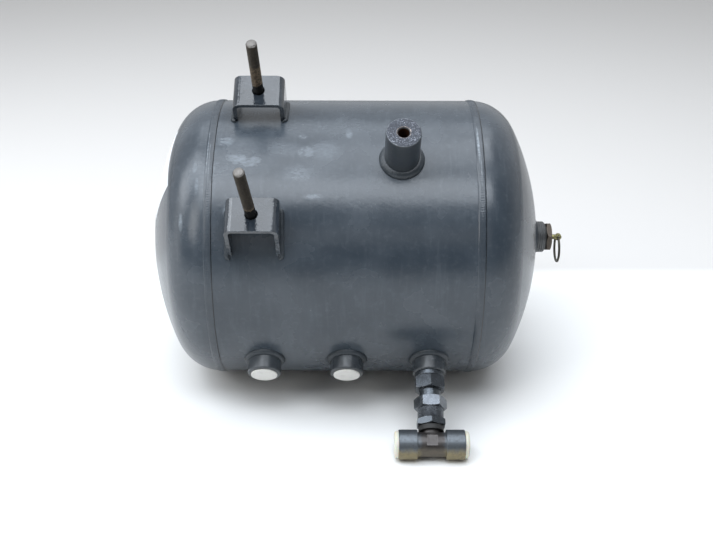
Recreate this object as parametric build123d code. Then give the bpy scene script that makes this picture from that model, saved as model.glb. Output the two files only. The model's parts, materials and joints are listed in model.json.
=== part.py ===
from build123d import *

import os
from math import asin, cos, degrees, radians, sin, sqrt

# A welded steel air reservoir of about 20 litres, with its drain valve, a non-return valve and a
# tee fitting. It lies on its girth welds and on the tee.
#
# Frame: +X runs along the vessel's axis towards the drain valve, +Z is up, and the origin is on
# the ground under the middle of the bounding box. Two directions at right angles to the axis
# place everything else: the mounting direction, along which the brackets, studs and support boss
# stand, and the port direction, along which the three pipe ports point. Millimetres throughout.

# Vessel
shell_od = 276.0
shell_wall = 3.0
girth_span = 248.2  # between the middles of the two girth welds
head_wall = 3.0
knuckle_radius = 44.0  # outside of the head
crown_radius = 250.0  # outside of the head
skirt_length = 14.0  # joggled edge of a head, inside the shell
skirt_gap = 0.25
joggle_run = 4.0  # length over which the head steps in to its skirt

# Welds
root_gap = 3.0  # between plate edges
girth_bead_width = 8.4
seam_bead_width = 7.0
bead_height = 1.0
seam_turn = 40.0  # lengthwise seam, degrees from the back of the port row towards the ground
port_weld_leg = 4.0
support_weld_leg = 5.5
drain_weld_leg = 4.0
foot_weld_leg = 4.0
weld_bulge = 0.5  # crown of a fillet weld over its flat face

# Ports, three in a row, M22 x 1.5
left_port_inset = 46.6  # port's middle from the middle of the left girth weld
right_port_inset = 43.2  # port's middle from the middle of the right girth weld
port_stand = 16.0  # boss face above the shell
port_boss_od = 32.0
port_core = 20.38  # minor diameter of the thread
port_mouth = 1.2  # chamfer at the mouth
boss_round = 1.8  # rounded rim of every boss

# Support boss, M12, blind
support_inset = 72.1  # from the middle of the right girth weld
support_stand = 42.5
support_od = 32.0
support_core = 10.2
support_depth = 30.0
support_mouth = 1.4

# Brackets and their studs, M10
bracket_inset = 42.6  # from the middle of the left girth weld
bracket_spread = 136.0  # between the two studs
bracket_height = 14.5  # outer face of the web above the shell's crown line
bracket_width = 48.0
bracket_length = 35.0
bracket_sheet = 4.0
bracket_bend = 7.5  # outside radius
stud_diameter = 10.0
stud_length = 66.0  # above the bracket
stud_step = 0.2  # radial, of the plain shank over the thread
stud_shoulder = 1.5  # top of the plain shank above the bracket
stud_play = 0.5  # radial, of the plain shank in the bracket's hole
stud_lean = {"upper": 1.0, "lower": 4.0}  # degrees towards the left head
stud_tip = 1.2
stud_head_flats = 16.0
stud_head_height = 6.4

# Drain boss and drain valve on the right head
drain_boss_od = 31.6
drain_stand = 10.9  # boss face beyond the top of the dome
drain_gasket = 1.5
drain_hex_flats = 27.0
drain_hex_height = 5.5
drain_thread_length = 14.0
drain_stem_od = 5.0
drain_stem_hole = 10.4
drain_chamber_wall = 1.54
drain_seat_depth = 2.0  # seat shoulder inside the boss face
drain_seal_height = 1.5
drain_disc_play = 0.6  # radial, in the chamber
drain_disc_height = 2.0
drain_eye_reach = 15.3  # middle of the eye beyond the boss face
drain_eye_od = 6.8
drain_eye_hole = 3.2
drain_eye_width = 3.0
drain_retainer_height = 1.0
drain_spring_od = 12.0
drain_spring_wire = 0.8
drain_spring_turns = 3
ring_mean_diameter = 26.4
ring_wire = 2.4
ring_play = 0.3  # how far the ring's wire hangs below the middle of the eye

# Non-return valve, screwed into the right port
seal_height = 4.0
seal_rim = 1.1
port_o_ring_wire = 2.3
port_o_ring_play = 0.46  # radial, round the thread's core
inlet_hex_rim = 0.6  # radial, of its flats over the seal's recess
inlet_hex_height = 13.0
inlet_neck_step = 0.9  # radial, of the neck over its thread
inlet_neck_length = 8.0
inlet_thread_length = 15.0
inlet_bore = 13.0
chamber_bore = 16.0
neck_wall = 1.4  # of the part of the neck that screws into the outlet half
neck_thread_length = 7.0
outlet_hex_flats = 27.0
outlet_hex_height = 11.0
outlet_bore = 10.0
barrel_od = 24.6
barrel_length = 10.4
seat_seal_height = 1.5
guide_height = 2.0
guide_bore = 5.2
guide_hole = 3.2
guide_holes = 6
poppet_play = 1.0  # radial, in the chamber
poppet_height = 2.6
poppet_stem_od = 5.0
poppet_stem_length = 18.0
valve_spring_wire = 0.9
valve_spring_od = 11.0
valve_spring_turns = 5

# Push-in connector and tee
nut_flats = 26.0
nut_height = 6.8
nut_lip = 2.0
nut_thread_od = 22.4
grab_height = 1.2
grab_depth = 1.4  # of its groove in the spigot
grab_split = 2.5
dust_ring_od = 23.8
dust_ring_height = 5.0
socket_bore = 16.0
socket_depth = 13.0
spigot_play = 0.06  # radial, between what swivels and what it turns in
tee_neck_od = 17.2
tee_drop = 12.0  # middle of the tee beyond the dust ring
tee_length = 61.5
tee_arm_od = 27.6
tee_arm_length = 17.5
tee_waist_od = 22.6
tee_flare_od = 21.0
tee_socket_bore = 18.4
tee_socket_depth = 20.0
tee_passage = 9.0
tee_pad = 10.0
tee_pad_height = 1.2
spigot_passage = 8.0
tee_o_ring_wire = 1.7
tee_o_ring_squash = 0.1  # how much nearer the groove's floor is than the ring

# Moulded plugs and caps
plug_flange_rim = 1.31  # seated on the port's face
plug_flange_height = 1.5
plug_skirt_length = 9.0
plug_wall = 1.4
plug_play = 0.24  # radial
cap_flange_od = 25.2
cap_flange_height = 4.0
cap_skirt_length = 10.0

# Type label on the left head
label_length = 70.0
label_width = 50.0
label_thickness = 0.15
label_along = 18.8  # middle, from the vessel's axis against the port direction
label_up = 82.8  # middle, from the vessel's axis along the mounting direction
label_turn = -8.0

thread_play = 0.05  # radial, between a screw's core and the hole's minor diameter
fit_gap = 0.05  # between faces that seal or slide on each other

# Derived places
shell_r = shell_od / 2
axis_height = shell_r + bead_height
head_edge = girth_span / 2 + root_gap / 2
knuckle_ring = shell_r - knuckle_radius
crown_centre = head_edge - sqrt((crown_radius - knuckle_radius) ** 2 - knuckle_ring**2)
crown_angle = degrees(asin(knuckle_ring / (crown_radius - knuckle_radius)))
dome_top = crown_centre + crown_radius

outer_ports = (left_port_inset - girth_span / 2, girth_span / 2 - right_port_inset)
port_x = [outer_ports[0], sum(outer_ports) / 2, outer_ports[1]]
support_x = girth_span / 2 - support_inset
bracket_x = bracket_inset - girth_span / 2
port_face = shell_r + port_stand
support_face = shell_r + support_stand
web_face = shell_r + bracket_height
web_underside = web_face - bracket_sheet
stud_shank = stud_diameter + 2 * stud_step
stud_hole = stud_shank + 2 * stud_play
drain_face = dome_top + drain_stand
drain_seat = drain_face - drain_seat_depth - drain_seal_height
drain_eye_x = drain_face + drain_eye_reach
drain_chamber_od = port_core - 2 * thread_play - 2 * drain_chamber_wall
drain_disc_od = drain_chamber_od - 2 * drain_disc_play

plug_flange_od = port_core + 2 * (port_mouth + plug_flange_rim)
seal_recess = port_core - 2 * thread_play + 2 * (port_o_ring_play + port_o_ring_wire)
seal_od = seal_recess + 2 * seal_rim
inlet_hex_flats = seal_recess + 2 * inlet_hex_rim
neck_thread_od = chamber_bore + 2 * neck_wall
inlet_neck_od = neck_thread_od + 2 * inlet_neck_step
poppet_od = chamber_bore - 2 * poppet_play
inlet_hex_base = port_face + seal_height
inlet_neck_base = inlet_hex_base + inlet_hex_height
outlet_hex_base = inlet_neck_base + inlet_neck_length
barrel_base = outlet_hex_base + outlet_hex_height
nut_base = barrel_base + barrel_length
dust_ring_base = nut_base + nut_height
tee_neck_base = dust_ring_base + dust_ring_height
tee_reach = tee_neck_base + tee_drop
nut_lip_base = dust_ring_base - nut_lip
barrel_end = nut_lip_base - grab_height - 0.4
socket_floor = barrel_end - socket_depth
spigot_end = socket_floor + 1.0
spigot_groove_od = socket_bore - 2 * spigot_play - 2 * grab_depth
o_ring_groove_od = socket_bore - 2 * spigot_play - 2 * tee_o_ring_wire - 2 * tee_o_ring_squash
o_ring_middle = (spigot_end + barrel_end) / 2
valve_seat = outlet_hex_base + neck_thread_length
poppet_face = valve_seat - seat_seal_height - fit_gap
guide_base = inlet_hex_base + 2.0

# The vessel rolls until the tee's arms touch the ground
lie = degrees(asin((axis_height - tee_arm_od / 2) / tee_reach))
port_direction = Vector(0, -cos(radians(lie)), -sin(radians(lie)))
mount_direction = Vector(0, -sin(radians(lie)), cos(radians(lie)))


def across(x, direction):
    """Plane on the vessel's axis at x, its Z along direction and its X along the vessel."""
    return Plane(origin=(x, 0, axis_height), x_dir=(1, 0, 0), z_dir=direction)


def along(side):
    """Plane at the vessel's middle, its Z along the axis: side is 1 for right, -1 for left."""
    return Plane(origin=(0, 0, axis_height), x_dir=port_direction * -side, z_dir=(side, 0, 0))


def turned(*outline, rounds=None):
    """Solid turned about Z from (radius, height) corners; rounds maps a corner's index to its radius."""
    radii = [(rounds or {}).get(index, 0.0) for index in range(len(outline))]
    corners = [(radius, 0, height) for radius, height in outline]
    return revolve(make_face(FilletPolyline(*corners, radius=radii, close=True)), Axis.Z)


def tube(outer, inner, low, high):
    """Ring or pipe between two diameters and two heights."""
    return turned((inner / 2, low), (outer / 2, low), (outer / 2, high), (inner / 2, high))


def rod(diameter, low, high):
    """Plain cylinder between two heights."""
    return Pos(0, 0, (low + high) / 2) * Cylinder(diameter / 2, high - low)


def hexagon(flats, low, high, turn=0.0):
    """Hexagon bar with both ends chamfered at the corners; a flat faces Y unless it is turned."""
    bar = Pos(0, 0, low) * extrude(RegularPolygon(flats / 2, 6, major_radius=False), high - low)
    corner = flats / sqrt(3)
    flat = flats / 2 * 0.97
    drop = (corner - flat) * 0.5
    low_side, high_side = (corner, low + drop), (corner, high - drop)
    envelope = turned((0, low), (flat, low), low_side, high_side, (flat, high), (0, high))
    return Rot(0, 0, turn) * (bar & envelope)


def helix_spring(outer, wire, turns, low, high):
    """Compression spring between two heights, its end turns just clear of both seats."""
    height = high - low - wire - 2 * fit_gap
    path = Helix(pitch=height / turns, height=height, radius=(outer - wire) / 2)
    section = Plane(path @ 0, z_dir=path % 0) * Circle(wire / 2)
    return Pos(0, 0, low + wire / 2 + fit_gap) * sweep(section, path=path)


def arc_point(ring, centre, radius, angle):
    """Point on an arc in the turning plane, its angle measured from the axis."""
    return (ring + radius * sin(radians(angle)), 0, centre + radius * cos(radians(angle)))


def dome(offset, drop=0.0):
    """Solid under a head's outside face moved out by offset, down to drop below the head's edge."""
    crown = crown_radius + offset
    knuckle = knuckle_radius + offset
    top, middle, tangent = (arc_point(0, crown_centre, crown, share * crown_angle) for share in (0, 0.5, 1))
    bend = arc_point(knuckle_ring, head_edge, knuckle, (crown_angle + 90) / 2)
    edge = (shell_r + offset, 0, head_edge)
    foot = (shell_r + offset, 0, head_edge - drop)
    floor = (0, 0, head_edge - drop)
    curves = [ThreePointArc(top, middle, tangent), ThreePointArc(tangent, bend, edge)]
    straight = [edge, foot, floor, top] if drop else [edge, floor, top]
    curves += [Line(start, end) for start, end in zip(straight, straight[1:])]
    return revolve(make_face(curves), Axis.Z)


def head():
    """Torispherical head, open below, with its joggled skirt."""
    skirt_outer = shell_r - shell_wall - skirt_gap
    skirt_inner = skirt_outer - head_wall
    skirt_end = head_edge - skirt_length
    skirt = turned(
        (skirt_inner, skirt_end),
        (skirt_outer, skirt_end),
        (skirt_outer, head_edge),
        (shell_r - head_wall / 2, head_edge),
        (shell_r - head_wall * 0.8, head_edge + joggle_run),
        (skirt_inner, head_edge),
    )
    return dome(0) - dome(-head_wall, drop=1.0) + skirt


def girth_weld():
    """Butt weld that fills the groove between shell and head and stands proud of both."""
    middle = girth_span / 2
    half_gap, half_cap = root_gap / 2, girth_bead_width / 2
    groove = shell_r - shell_wall
    cap = ThreePointArc(
        (shell_r, 0, middle - half_cap), (shell_r + bead_height, 0, middle), (shell_r, 0, middle + half_cap)
    )
    corners = [
        (shell_r, 0, middle + half_cap),
        (shell_r, 0, middle + half_gap),
        (groove, 0, middle + half_gap),
        (groove, 0, middle - half_gap),
        (shell_r, 0, middle - half_gap),
        (shell_r, 0, middle - half_cap),
    ]
    sides = [Line(start, end) for start, end in zip(corners, corners[1:])]
    return revolve(make_face([cap, *sides]), Axis.Z)


def rolled_plate():
    """The shell's plate, rolled and closed."""
    reach = (girth_span - root_gap) / 2
    return tube(shell_od, shell_od - 2 * shell_wall, -reach, reach)


def seam_parts():
    """The slit that the rolled plate leaves along the shell, and the weld that fills it."""
    frame = across(0, -port_direction) * Rot(-seam_turn, 0, 0)
    groove = shell_r - shell_wall / 2
    slit = frame * (Pos(0, 0, groove) * Box(girth_span, root_gap, shell_wall + 2))
    length = girth_span - girth_bead_width
    sink = 0.5
    half = seam_bead_width / 2
    section = make_face(
        [
            ThreePointArc((0, -half, shell_r), (0, 0, shell_r + bead_height), (0, half, shell_r)),
            Line((0, half, shell_r), (0, half, shell_r - sink)),
            Line((0, half, shell_r - sink), (0, -half, shell_r - sink)),
            Line((0, -half, shell_r - sink), (0, -half, shell_r)),
        ]
    )
    cap = frame * extrude(section, length / 2, dir=(1, 0, 0), both=True) - shell_solid
    tongue = frame * (Pos(0, 0, groove) * Box(length, root_gap, shell_wall + 2))
    return slit, cap + (tongue & along(1) * rolled_plate())


def boss(od, core, mouth, base, face):
    """Turned weld-on boss with a chamfered hole right through, from base to face."""
    return turned(
        (core / 2, base),
        (od / 2, base),
        (od / 2, face),
        (core / 2 + mouth, face),
        (core / 2, face - mouth),
        rounds={2: boss_round},
    )


def fillet_weld(od, leg, surface):
    """Ring of convex section round a boss, deep enough to be cut to the curved plate below it."""
    depth = leg + 4.0
    foot, top = (od / 2 + leg + depth, 0, surface - depth), (od / 2, 0, surface + leg)
    bulge = weld_bulge / sqrt(2)
    middle = ((foot[0] + top[0]) / 2 + bulge, 0, (foot[2] + top[2]) / 2 + bulge)
    root = (od / 2, 0, surface - depth)
    return revolve(make_face([ThreePointArc(foot, middle, top), Line(top, root), Line(root, foot)]), Axis.Z)


def bracket(offset):
    """Folded U bracket on the shell, its web drilled for the stud, offset from the axis."""
    half = bracket_width / 2
    inner = half - bracket_sheet
    inner_bend = bracket_bend - bracket_sheet
    strip = FilletPolyline(
        (-half, 0, 0),
        (-half, 0, web_face),
        (half, 0, web_face),
        (half, 0, 0),
        (inner, 0, 0),
        (inner, 0, web_underside),
        (-inner, 0, web_underside),
        (-inner, 0, 0),
        radius=[0, bracket_bend, bracket_bend, 0, 0, inner_bend, inner_bend, 0],
        close=True,
    )
    folded = extrude(make_face(strip), bracket_length / 2, dir=(0, 1, 0), both=True)
    return Pos(0, offset, 0) * (folded - rod(stud_hole, web_underside - 1, web_face + 1))


def foot_welds(offset):
    """Two fillet beads along the outsides of a bracket's feet, bent round the shell."""
    margin = 3.0
    near, far = (
        degrees(asin((offset + side * (bracket_length / 2 - margin)) / shell_r)) for side in (-1, 1)
    )
    toe = bracket_width / 2
    beads = []
    for side in (-1, 1):
        corners = [(side * toe, 0, shell_r - 1), (side * (toe + foot_weld_leg + 1), 0, shell_r - 1)]
        corners.append((side * toe, 0, shell_r + foot_weld_leg))
        section = Rot(-near, 0, 0) * make_face(Polyline(*corners, close=True))
        beads.append(revolve(section, Axis.X, near - far))
    return Compound(beads)


def stud(offset, lean):
    """Stud leaning in its hole, one corner of its hexagon head against the web's underside."""
    seat = -stud_head_flats / sqrt(3) * sin(radians(lean))
    shoulder = bracket_sheet + stud_shoulder
    tip = bracket_sheet + stud_length
    shank = turned(
        (0, seat),
        (stud_shank / 2, seat),
        (stud_shank / 2, shoulder),
        (stud_diameter / 2, shoulder),
        (stud_diameter / 2, tip - stud_tip),
        (stud_diameter / 2 - stud_tip, tip),
        (0, tip),
    )
    head_end = hexagon(stud_head_flats, seat - stud_head_height, seat)
    return Pos(0, offset, web_underside) * Rot(0, -lean, 0) * (shank + head_end)


def vessel_parts():
    """Shell, heads and the welds that join them."""
    slit, seam = seam_parts()
    shell = along(1) * rolled_plate() - slit
    for x in port_x:
        shell -= across(x, port_direction) * rod(port_core, shell_r - 2 * shell_wall, shell_r + 1)
    drain_hole = rod(port_core, dome_top - 2 * head_wall, dome_top + 1)
    return {
        "shell": shell,
        "lengthwise_weld": seam,
        "left_head": along(-1) * head(),
        "right_head": along(1) * (head() - drain_hole),
        "left_girth_weld": along(-1) * girth_weld(),
        "right_girth_weld": along(1) * girth_weld(),
    }


def boss_parts():
    """Port bosses, support boss and drain boss, each cut to the plate it stands on, with its weld."""
    sink = 3.0
    parts = {}
    for name, x in zip(("left", "middle", "right"), port_x):
        port = across(x, port_direction)
        body = port * boss(port_boss_od, port_core, port_mouth, shell_r - sink, port_face)
        parts[f"{name}_port_boss"] = body - shell_solid
        parts[f"{name}_port_weld"] = port * fillet_weld(port_boss_od, port_weld_leg, shell_r) - shell_solid

    support = across(support_x, mount_direction)
    drill_floor = support_face - support_depth
    blind = turned(
        (0, shell_r - sink),
        (support_od / 2, shell_r - sink),
        (support_od / 2, support_face),
        (support_core / 2 + support_mouth, support_face),
        (support_core / 2, support_face - support_mouth),
        (support_core / 2, drill_floor),
        (0, drill_floor - support_core / 2 / sqrt(3)),
        rounds={2: boss_round},
    )
    parts["support_boss"] = support * blind - shell_solid
    parts["support_weld"] = support * fillet_weld(support_od, support_weld_leg, shell_r) - shell_solid

    dome_solid = along(1) * dome(0)
    body = along(1) * boss(drain_boss_od, port_core, port_mouth, dome_top - sink, drain_face)
    parts["drain_boss"] = body - dome_solid
    parts["drain_weld"] = along(1) * fillet_weld(drain_boss_od, drain_weld_leg, dome_top) - dome_solid
    return parts


def bracket_parts():
    """Two folded brackets with their foot welds and studs."""
    mounting = across(bracket_x, mount_direction)
    parts = {}
    for name, side in (("upper", 1), ("lower", -1)):
        offset = side * bracket_spread / 2
        parts[f"{name}_bracket"] = mounting * bracket(offset) - shell_solid
        parts[f"{name}_foot_welds"] = mounting * foot_welds(offset) - shell_solid
        parts[f"{name}_stud"] = mounting * stud(offset, stud_lean[name])
    return parts


def port_plug():
    """Moulded cup that closes a spare port, its flange on the boss face."""
    skirt = port_core / 2 - plug_play
    floor = port_face - plug_skirt_length
    top = port_face + plug_flange_height
    return turned(
        (0, port_face),
        (skirt - plug_wall, port_face),
        (skirt - plug_wall, floor),
        (skirt, floor),
        (skirt, port_face),
        (plug_flange_od / 2, port_face),
        (plug_flange_od / 2, top),
        (0, top),
        rounds={6: plug_flange_height * 0.6},
    )


def drain_parts():
    """Drain valve: body, gasket, seal, spring and its retainer, and the disc on its stem."""
    hex_base = drain_face + drain_gasket
    hex_top = hex_base + drain_hex_height
    chamber_floor = drain_face - drain_seat_depth
    thread_end = drain_face - drain_thread_length
    spring_seat = thread_end + drain_retainer_height
    disc_back = drain_seat - drain_disc_height
    inside_od = drain_chamber_od - 2 * fit_gap

    body = hexagon(drain_hex_flats, hex_base, hex_top)
    body += rod(port_core - 2 * thread_play, thread_end, hex_base)
    body -= rod(drain_stem_hole, chamber_floor - 1, hex_top + 1)
    body -= rod(drain_chamber_od, thread_end - 1, chamber_floor)

    pin = rod(drain_disc_od, disc_back, drain_seat) + rod(drain_stem_od, drain_seat, drain_eye_x)
    at_eye = Pos(0, 0, drain_eye_x) * Rot(0, 0, -lie) * Rot(0, 90, 0)  # its Z lies level, across the vessel
    pin += at_eye * rod(drain_eye_od, -drain_eye_width / 2, drain_eye_width / 2)
    pin -= at_eye * rod(drain_eye_hole, -drain_stem_od, drain_stem_od)
    parts = {
        "drain_valve_body": body,
        "drain_gasket": tube(drain_hex_flats, port_core + 1.0, drain_face, hex_base),
        "drain_seat_seal": tube(inside_od, drain_stem_hole, drain_seat, chamber_floor),
        "drain_spring_retainer": tube(inside_od, drain_stem_od + 2, thread_end, spring_seat),
        "drain_spring": helix_spring(
            drain_spring_od, drain_spring_wire, drain_spring_turns, spring_seat, disc_back
        ),
        "drain_pin": pin,
    }
    return {name: along(1) * solid for name, solid in parts.items()}


def drain_ring():
    """Pull ring hanging plumb in the stem's eye."""
    middle = axis_height - ring_play - ring_mean_diameter / 2
    hanging = Plane(origin=(drain_eye_x, 0, middle), x_dir=(0, 1, 0), z_dir=(1, 0, 0))
    return hanging * Torus(ring_mean_diameter / 2, ring_wire / 2)


def inlet_half():
    """Non-return valve's lower half: port thread, hexagon and neck, with the spring's chamber."""
    thread_end = port_face - inlet_thread_length
    neck_end = valve_seat - fit_gap
    body = rod(port_core - 2 * thread_play, thread_end, inlet_hex_base)
    body += hexagon(inlet_hex_flats, inlet_hex_base, inlet_neck_base, turn=30)
    body += rod(inlet_neck_od, inlet_neck_base, outlet_hex_base)
    body += rod(neck_thread_od, outlet_hex_base, neck_end)
    body -= rod(inlet_bore, thread_end - 1, guide_base)
    body -= rod(chamber_bore, guide_base, neck_end + 1)
    return body


def outlet_half():
    """Non-return valve's upper half: hexagon, valve seat, and the barrel with the tee's socket."""
    body = hexagon(outlet_hex_flats, outlet_hex_base, barrel_base)
    body += rod(barrel_od, barrel_base, nut_base)
    body += rod(nut_thread_od - 2 * thread_play, nut_base, barrel_end)
    body -= rod(neck_thread_od + 2 * thread_play, outlet_hex_base - 1, valve_seat)
    body -= rod(outlet_bore, valve_seat - 1, barrel_end + 1)
    body -= rod(socket_bore, socket_floor, barrel_end + 1)
    return body


def spring_guide():
    """Disc that carries the spring and guides the poppet's stem, with holes for the air."""
    outer = chamber_bore - 2 * fit_gap
    top = guide_base + guide_height
    guide = tube(outer, guide_bore, guide_base, top)
    hole = Pos((outer + guide_bore) / 4, 0, 0) * rod(guide_hole, guide_base - 1, top + 1)
    for index in range(guide_holes):
        guide -= Rot(0, 0, index * 360 / guide_holes) * hole
    return guide


def non_return_parts():
    """Everything of the non-return valve and the connector on it that stays with the vessel."""
    seal_middle = (port_face + inlet_hex_base) / 2
    poppet_back = poppet_face - poppet_height
    chamber_fit = chamber_bore - 2 * fit_gap
    poppet = rod(poppet_od, poppet_back, poppet_face)
    poppet += rod(poppet_stem_od, poppet_face - poppet_stem_length, poppet_back)

    nut = hexagon(nut_flats, nut_base, dust_ring_base, turn=30)
    nut -= rod(nut_thread_od, nut_base - 1, nut_lip_base)
    nut -= rod(tee_neck_od + 2 * spigot_play, nut_lip_base - 1, dust_ring_base + 1)
    grab_middle = (barrel_end + nut_lip_base) / 2
    grab_low, grab_high = grab_middle - grab_height / 2, grab_middle + grab_height / 2
    grab = tube(nut_thread_od - 1, spigot_groove_od + 0.4, grab_low, grab_high)
    grab -= Pos(nut_thread_od / 2, 0, grab_middle) * Box(nut_thread_od, grab_split, 2 * grab_height)
    parts = {
        "port_seal_ring": tube(seal_od, seal_recess, port_face, inlet_hex_base),
        "port_o_ring": Pos(0, 0, seal_middle)
        * Torus((seal_recess - port_o_ring_wire) / 2 - fit_gap, port_o_ring_wire / 2),
        "valve_inlet_body": inlet_half(),
        "valve_outlet_body": outlet_half(),
        "valve_seat_seal": tube(chamber_fit, outlet_bore, valve_seat - seat_seal_height, valve_seat),
        "valve_spring_guide": spring_guide(),
        "valve_poppet": poppet,
        "valve_spring": helix_spring(
            valve_spring_od, valve_spring_wire, valve_spring_turns, guide_base + guide_height, poppet_back
        ),
        "connector_nut": nut,
        "grab_ring": grab,
        "dust_ring": tube(dust_ring_od, tee_neck_od + 2 * spigot_play, dust_ring_base, tee_neck_base),
    }
    return {name: across(port_x[2], port_direction) * solid for name, solid in parts.items()}


def tee_neck():
    """The tee's spigot with its two grooves, and the neck that widens into the run."""
    spigot = socket_bore / 2 - spigot_play
    step = nut_lip_base - spigot_play
    neck = turned(
        (0, spigot_end),
        (spigot, spigot_end),
        (spigot, step),
        (tee_neck_od / 2, step),
        (tee_neck_od / 2, tee_neck_base + tee_drop * 0.2),
        (tee_flare_od / 2, tee_reach - tee_waist_od / 4),
        (tee_flare_od / 2, tee_reach),
        (0, tee_reach),
        rounds={1: 0.8},
    )
    half_groove = tee_o_ring_wire * 0.7
    neck -= tube(2 * spigot + 2, spigot_groove_od, barrel_end + fit_gap, step)
    neck -= tube(2 * spigot + 2, o_ring_groove_od, o_ring_middle - half_groove, o_ring_middle + half_groove)
    return neck


def tee_parts():
    """Tee with its seal, and the two caps in its arms."""
    run = Plane(origin=(0, 0, tee_reach), x_dir=(0, 1, 0), z_dir=(1, 0, 0))
    half_run = tee_length / 2
    waist = half_run - tee_arm_length
    arm = run * turned(
        (0, waist),
        (tee_arm_od / 2, waist),
        (tee_arm_od / 2, half_run),
        (0, half_run),
        rounds={1: 0.8, 2: 0.8},
    )
    socket = run * rod(tee_socket_bore, half_run - tee_socket_depth, half_run + 1)
    pad_reach = tee_waist_od / 2 + tee_pad_height
    pad = Pos(0, pad_reach / 2, tee_reach) * Box(tee_pad, pad_reach, tee_pad)
    other = Rot(0, 0, 180)
    tee = tee_neck() + run * rod(tee_waist_od, -waist, waist) + arm + other * arm + pad
    tee -= run * rod(tee_passage, -half_run, half_run)
    tee -= socket
    tee -= other * socket
    tee -= rod(spigot_passage, spigot_end - 1, tee_reach)

    skirt = tee_socket_bore / 2 - plug_play
    cap_end = half_run + cap_flange_height
    cap = run * turned(
        (0, half_run),
        (skirt - plug_wall, half_run),
        (skirt - plug_wall, half_run - cap_skirt_length),
        (skirt, half_run - cap_skirt_length),
        (skirt, half_run),
        (cap_flange_od / 2, half_run),
        (cap_flange_od / 2, cap_end),
        (0, cap_end),
        rounds={6: cap_flange_height * 0.6},
    )
    seal = Torus((socket_bore - 2 * spigot_play - tee_o_ring_wire) / 2, tee_o_ring_wire / 2)
    parts = {
        "tee_body": tee,
        "spigot_o_ring": Pos(0, 0, o_ring_middle) * seal,
        "right_tee_cap": cap,
        "left_tee_cap": other * cap,
    }
    return {name: across(port_x[2], port_direction) * solid for name, solid in parts.items()}


def type_label():
    """Thin rectangular sheet that follows the left head."""
    depth = dome_top - head_edge
    outline = Pos(-label_along, label_up, head_edge + depth / 2) * Rot(0, 0, -label_turn)
    outline *= Box(label_length, label_width, 2 * depth)
    return along(-1) * ((dome(label_thickness) - dome(0, drop=1.0)) & outline)


shell_solid = along(1) * rod(shell_od, -head_edge, head_edge)
nodes = {**vessel_parts(), **boss_parts(), **bracket_parts(), **drain_parts()}
nodes["drain_ring"] = drain_ring()
for plug_name, plug_x in zip(("left", "middle"), port_x):
    nodes[f"{plug_name}_port_plug"] = across(plug_x, port_direction) * port_plug()
nodes.update(non_return_parts())
nodes.update(tee_parts())
nodes["type_label"] = type_label()

# Stand the whole on the ground, with the origin under the middle of its bounding box
bounds = Compound([piece for solid in nodes.values() for piece in solid.solids()]).bounding_box()
to_origin = Pos(-(bounds.min.X + bounds.max.X) / 2, -(bounds.min.Y + bounds.max.Y) / 2, -bounds.min.Z)

os.makedirs("parts", exist_ok=True)
for node_name, node_solid in nodes.items():
    export_step(to_origin * Compound(list(node_solid.solids())), f"parts/{node_name}.step")
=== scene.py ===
"""A compressed-air reservoir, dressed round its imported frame: paint, weld beads, threads and fittings.

Every length is in metres, in the frame's own axes. The vessel lies along X and rests on its girth
welds. Two directions at right angles to that axis place everything on it: the mounting direction, on
which the brackets and the support boss stand, and the port direction, along which the ports point.
"""

from __future__ import annotations

import json
import logging
import math
from collections.abc import Callable, Iterable, Mapping, Sequence
from dataclasses import dataclass, field
from enum import Enum
from typing import Any

import bmesh
import bpy
from mathutils import Matrix, Vector


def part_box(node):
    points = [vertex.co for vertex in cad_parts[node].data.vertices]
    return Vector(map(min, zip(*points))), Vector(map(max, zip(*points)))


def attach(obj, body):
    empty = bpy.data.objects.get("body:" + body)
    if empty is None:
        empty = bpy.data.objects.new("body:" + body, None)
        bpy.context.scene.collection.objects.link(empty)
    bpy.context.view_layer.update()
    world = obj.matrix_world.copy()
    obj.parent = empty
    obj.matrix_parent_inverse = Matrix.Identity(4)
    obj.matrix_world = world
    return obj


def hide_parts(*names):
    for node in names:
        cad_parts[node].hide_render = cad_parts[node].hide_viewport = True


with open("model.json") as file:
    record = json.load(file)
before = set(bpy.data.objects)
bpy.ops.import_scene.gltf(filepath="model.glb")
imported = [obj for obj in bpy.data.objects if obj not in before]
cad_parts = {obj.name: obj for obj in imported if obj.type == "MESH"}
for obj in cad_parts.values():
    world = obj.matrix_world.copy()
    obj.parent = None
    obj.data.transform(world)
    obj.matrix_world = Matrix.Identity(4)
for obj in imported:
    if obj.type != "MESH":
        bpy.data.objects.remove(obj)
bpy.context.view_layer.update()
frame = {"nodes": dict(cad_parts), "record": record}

log = logging.getLogger("reservoir")

MM = 0.001
AHEAD = Vector((1, 0, 0))
Triple = tuple[float, float, float]
Colour = Triple
Line = tuple[list[Vector], list[Vector]]
Socket = bpy.types.NodeSocket
Inputs = bpy.types.NodeInputs
Outputs = bpy.types.NodeOutputs
Tree = bpy.types.NodeTree
Mesh = bpy.types.Mesh
Material = bpy.types.Material
Thing = bpy.types.Object


# ---- Node graphs ----


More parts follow.
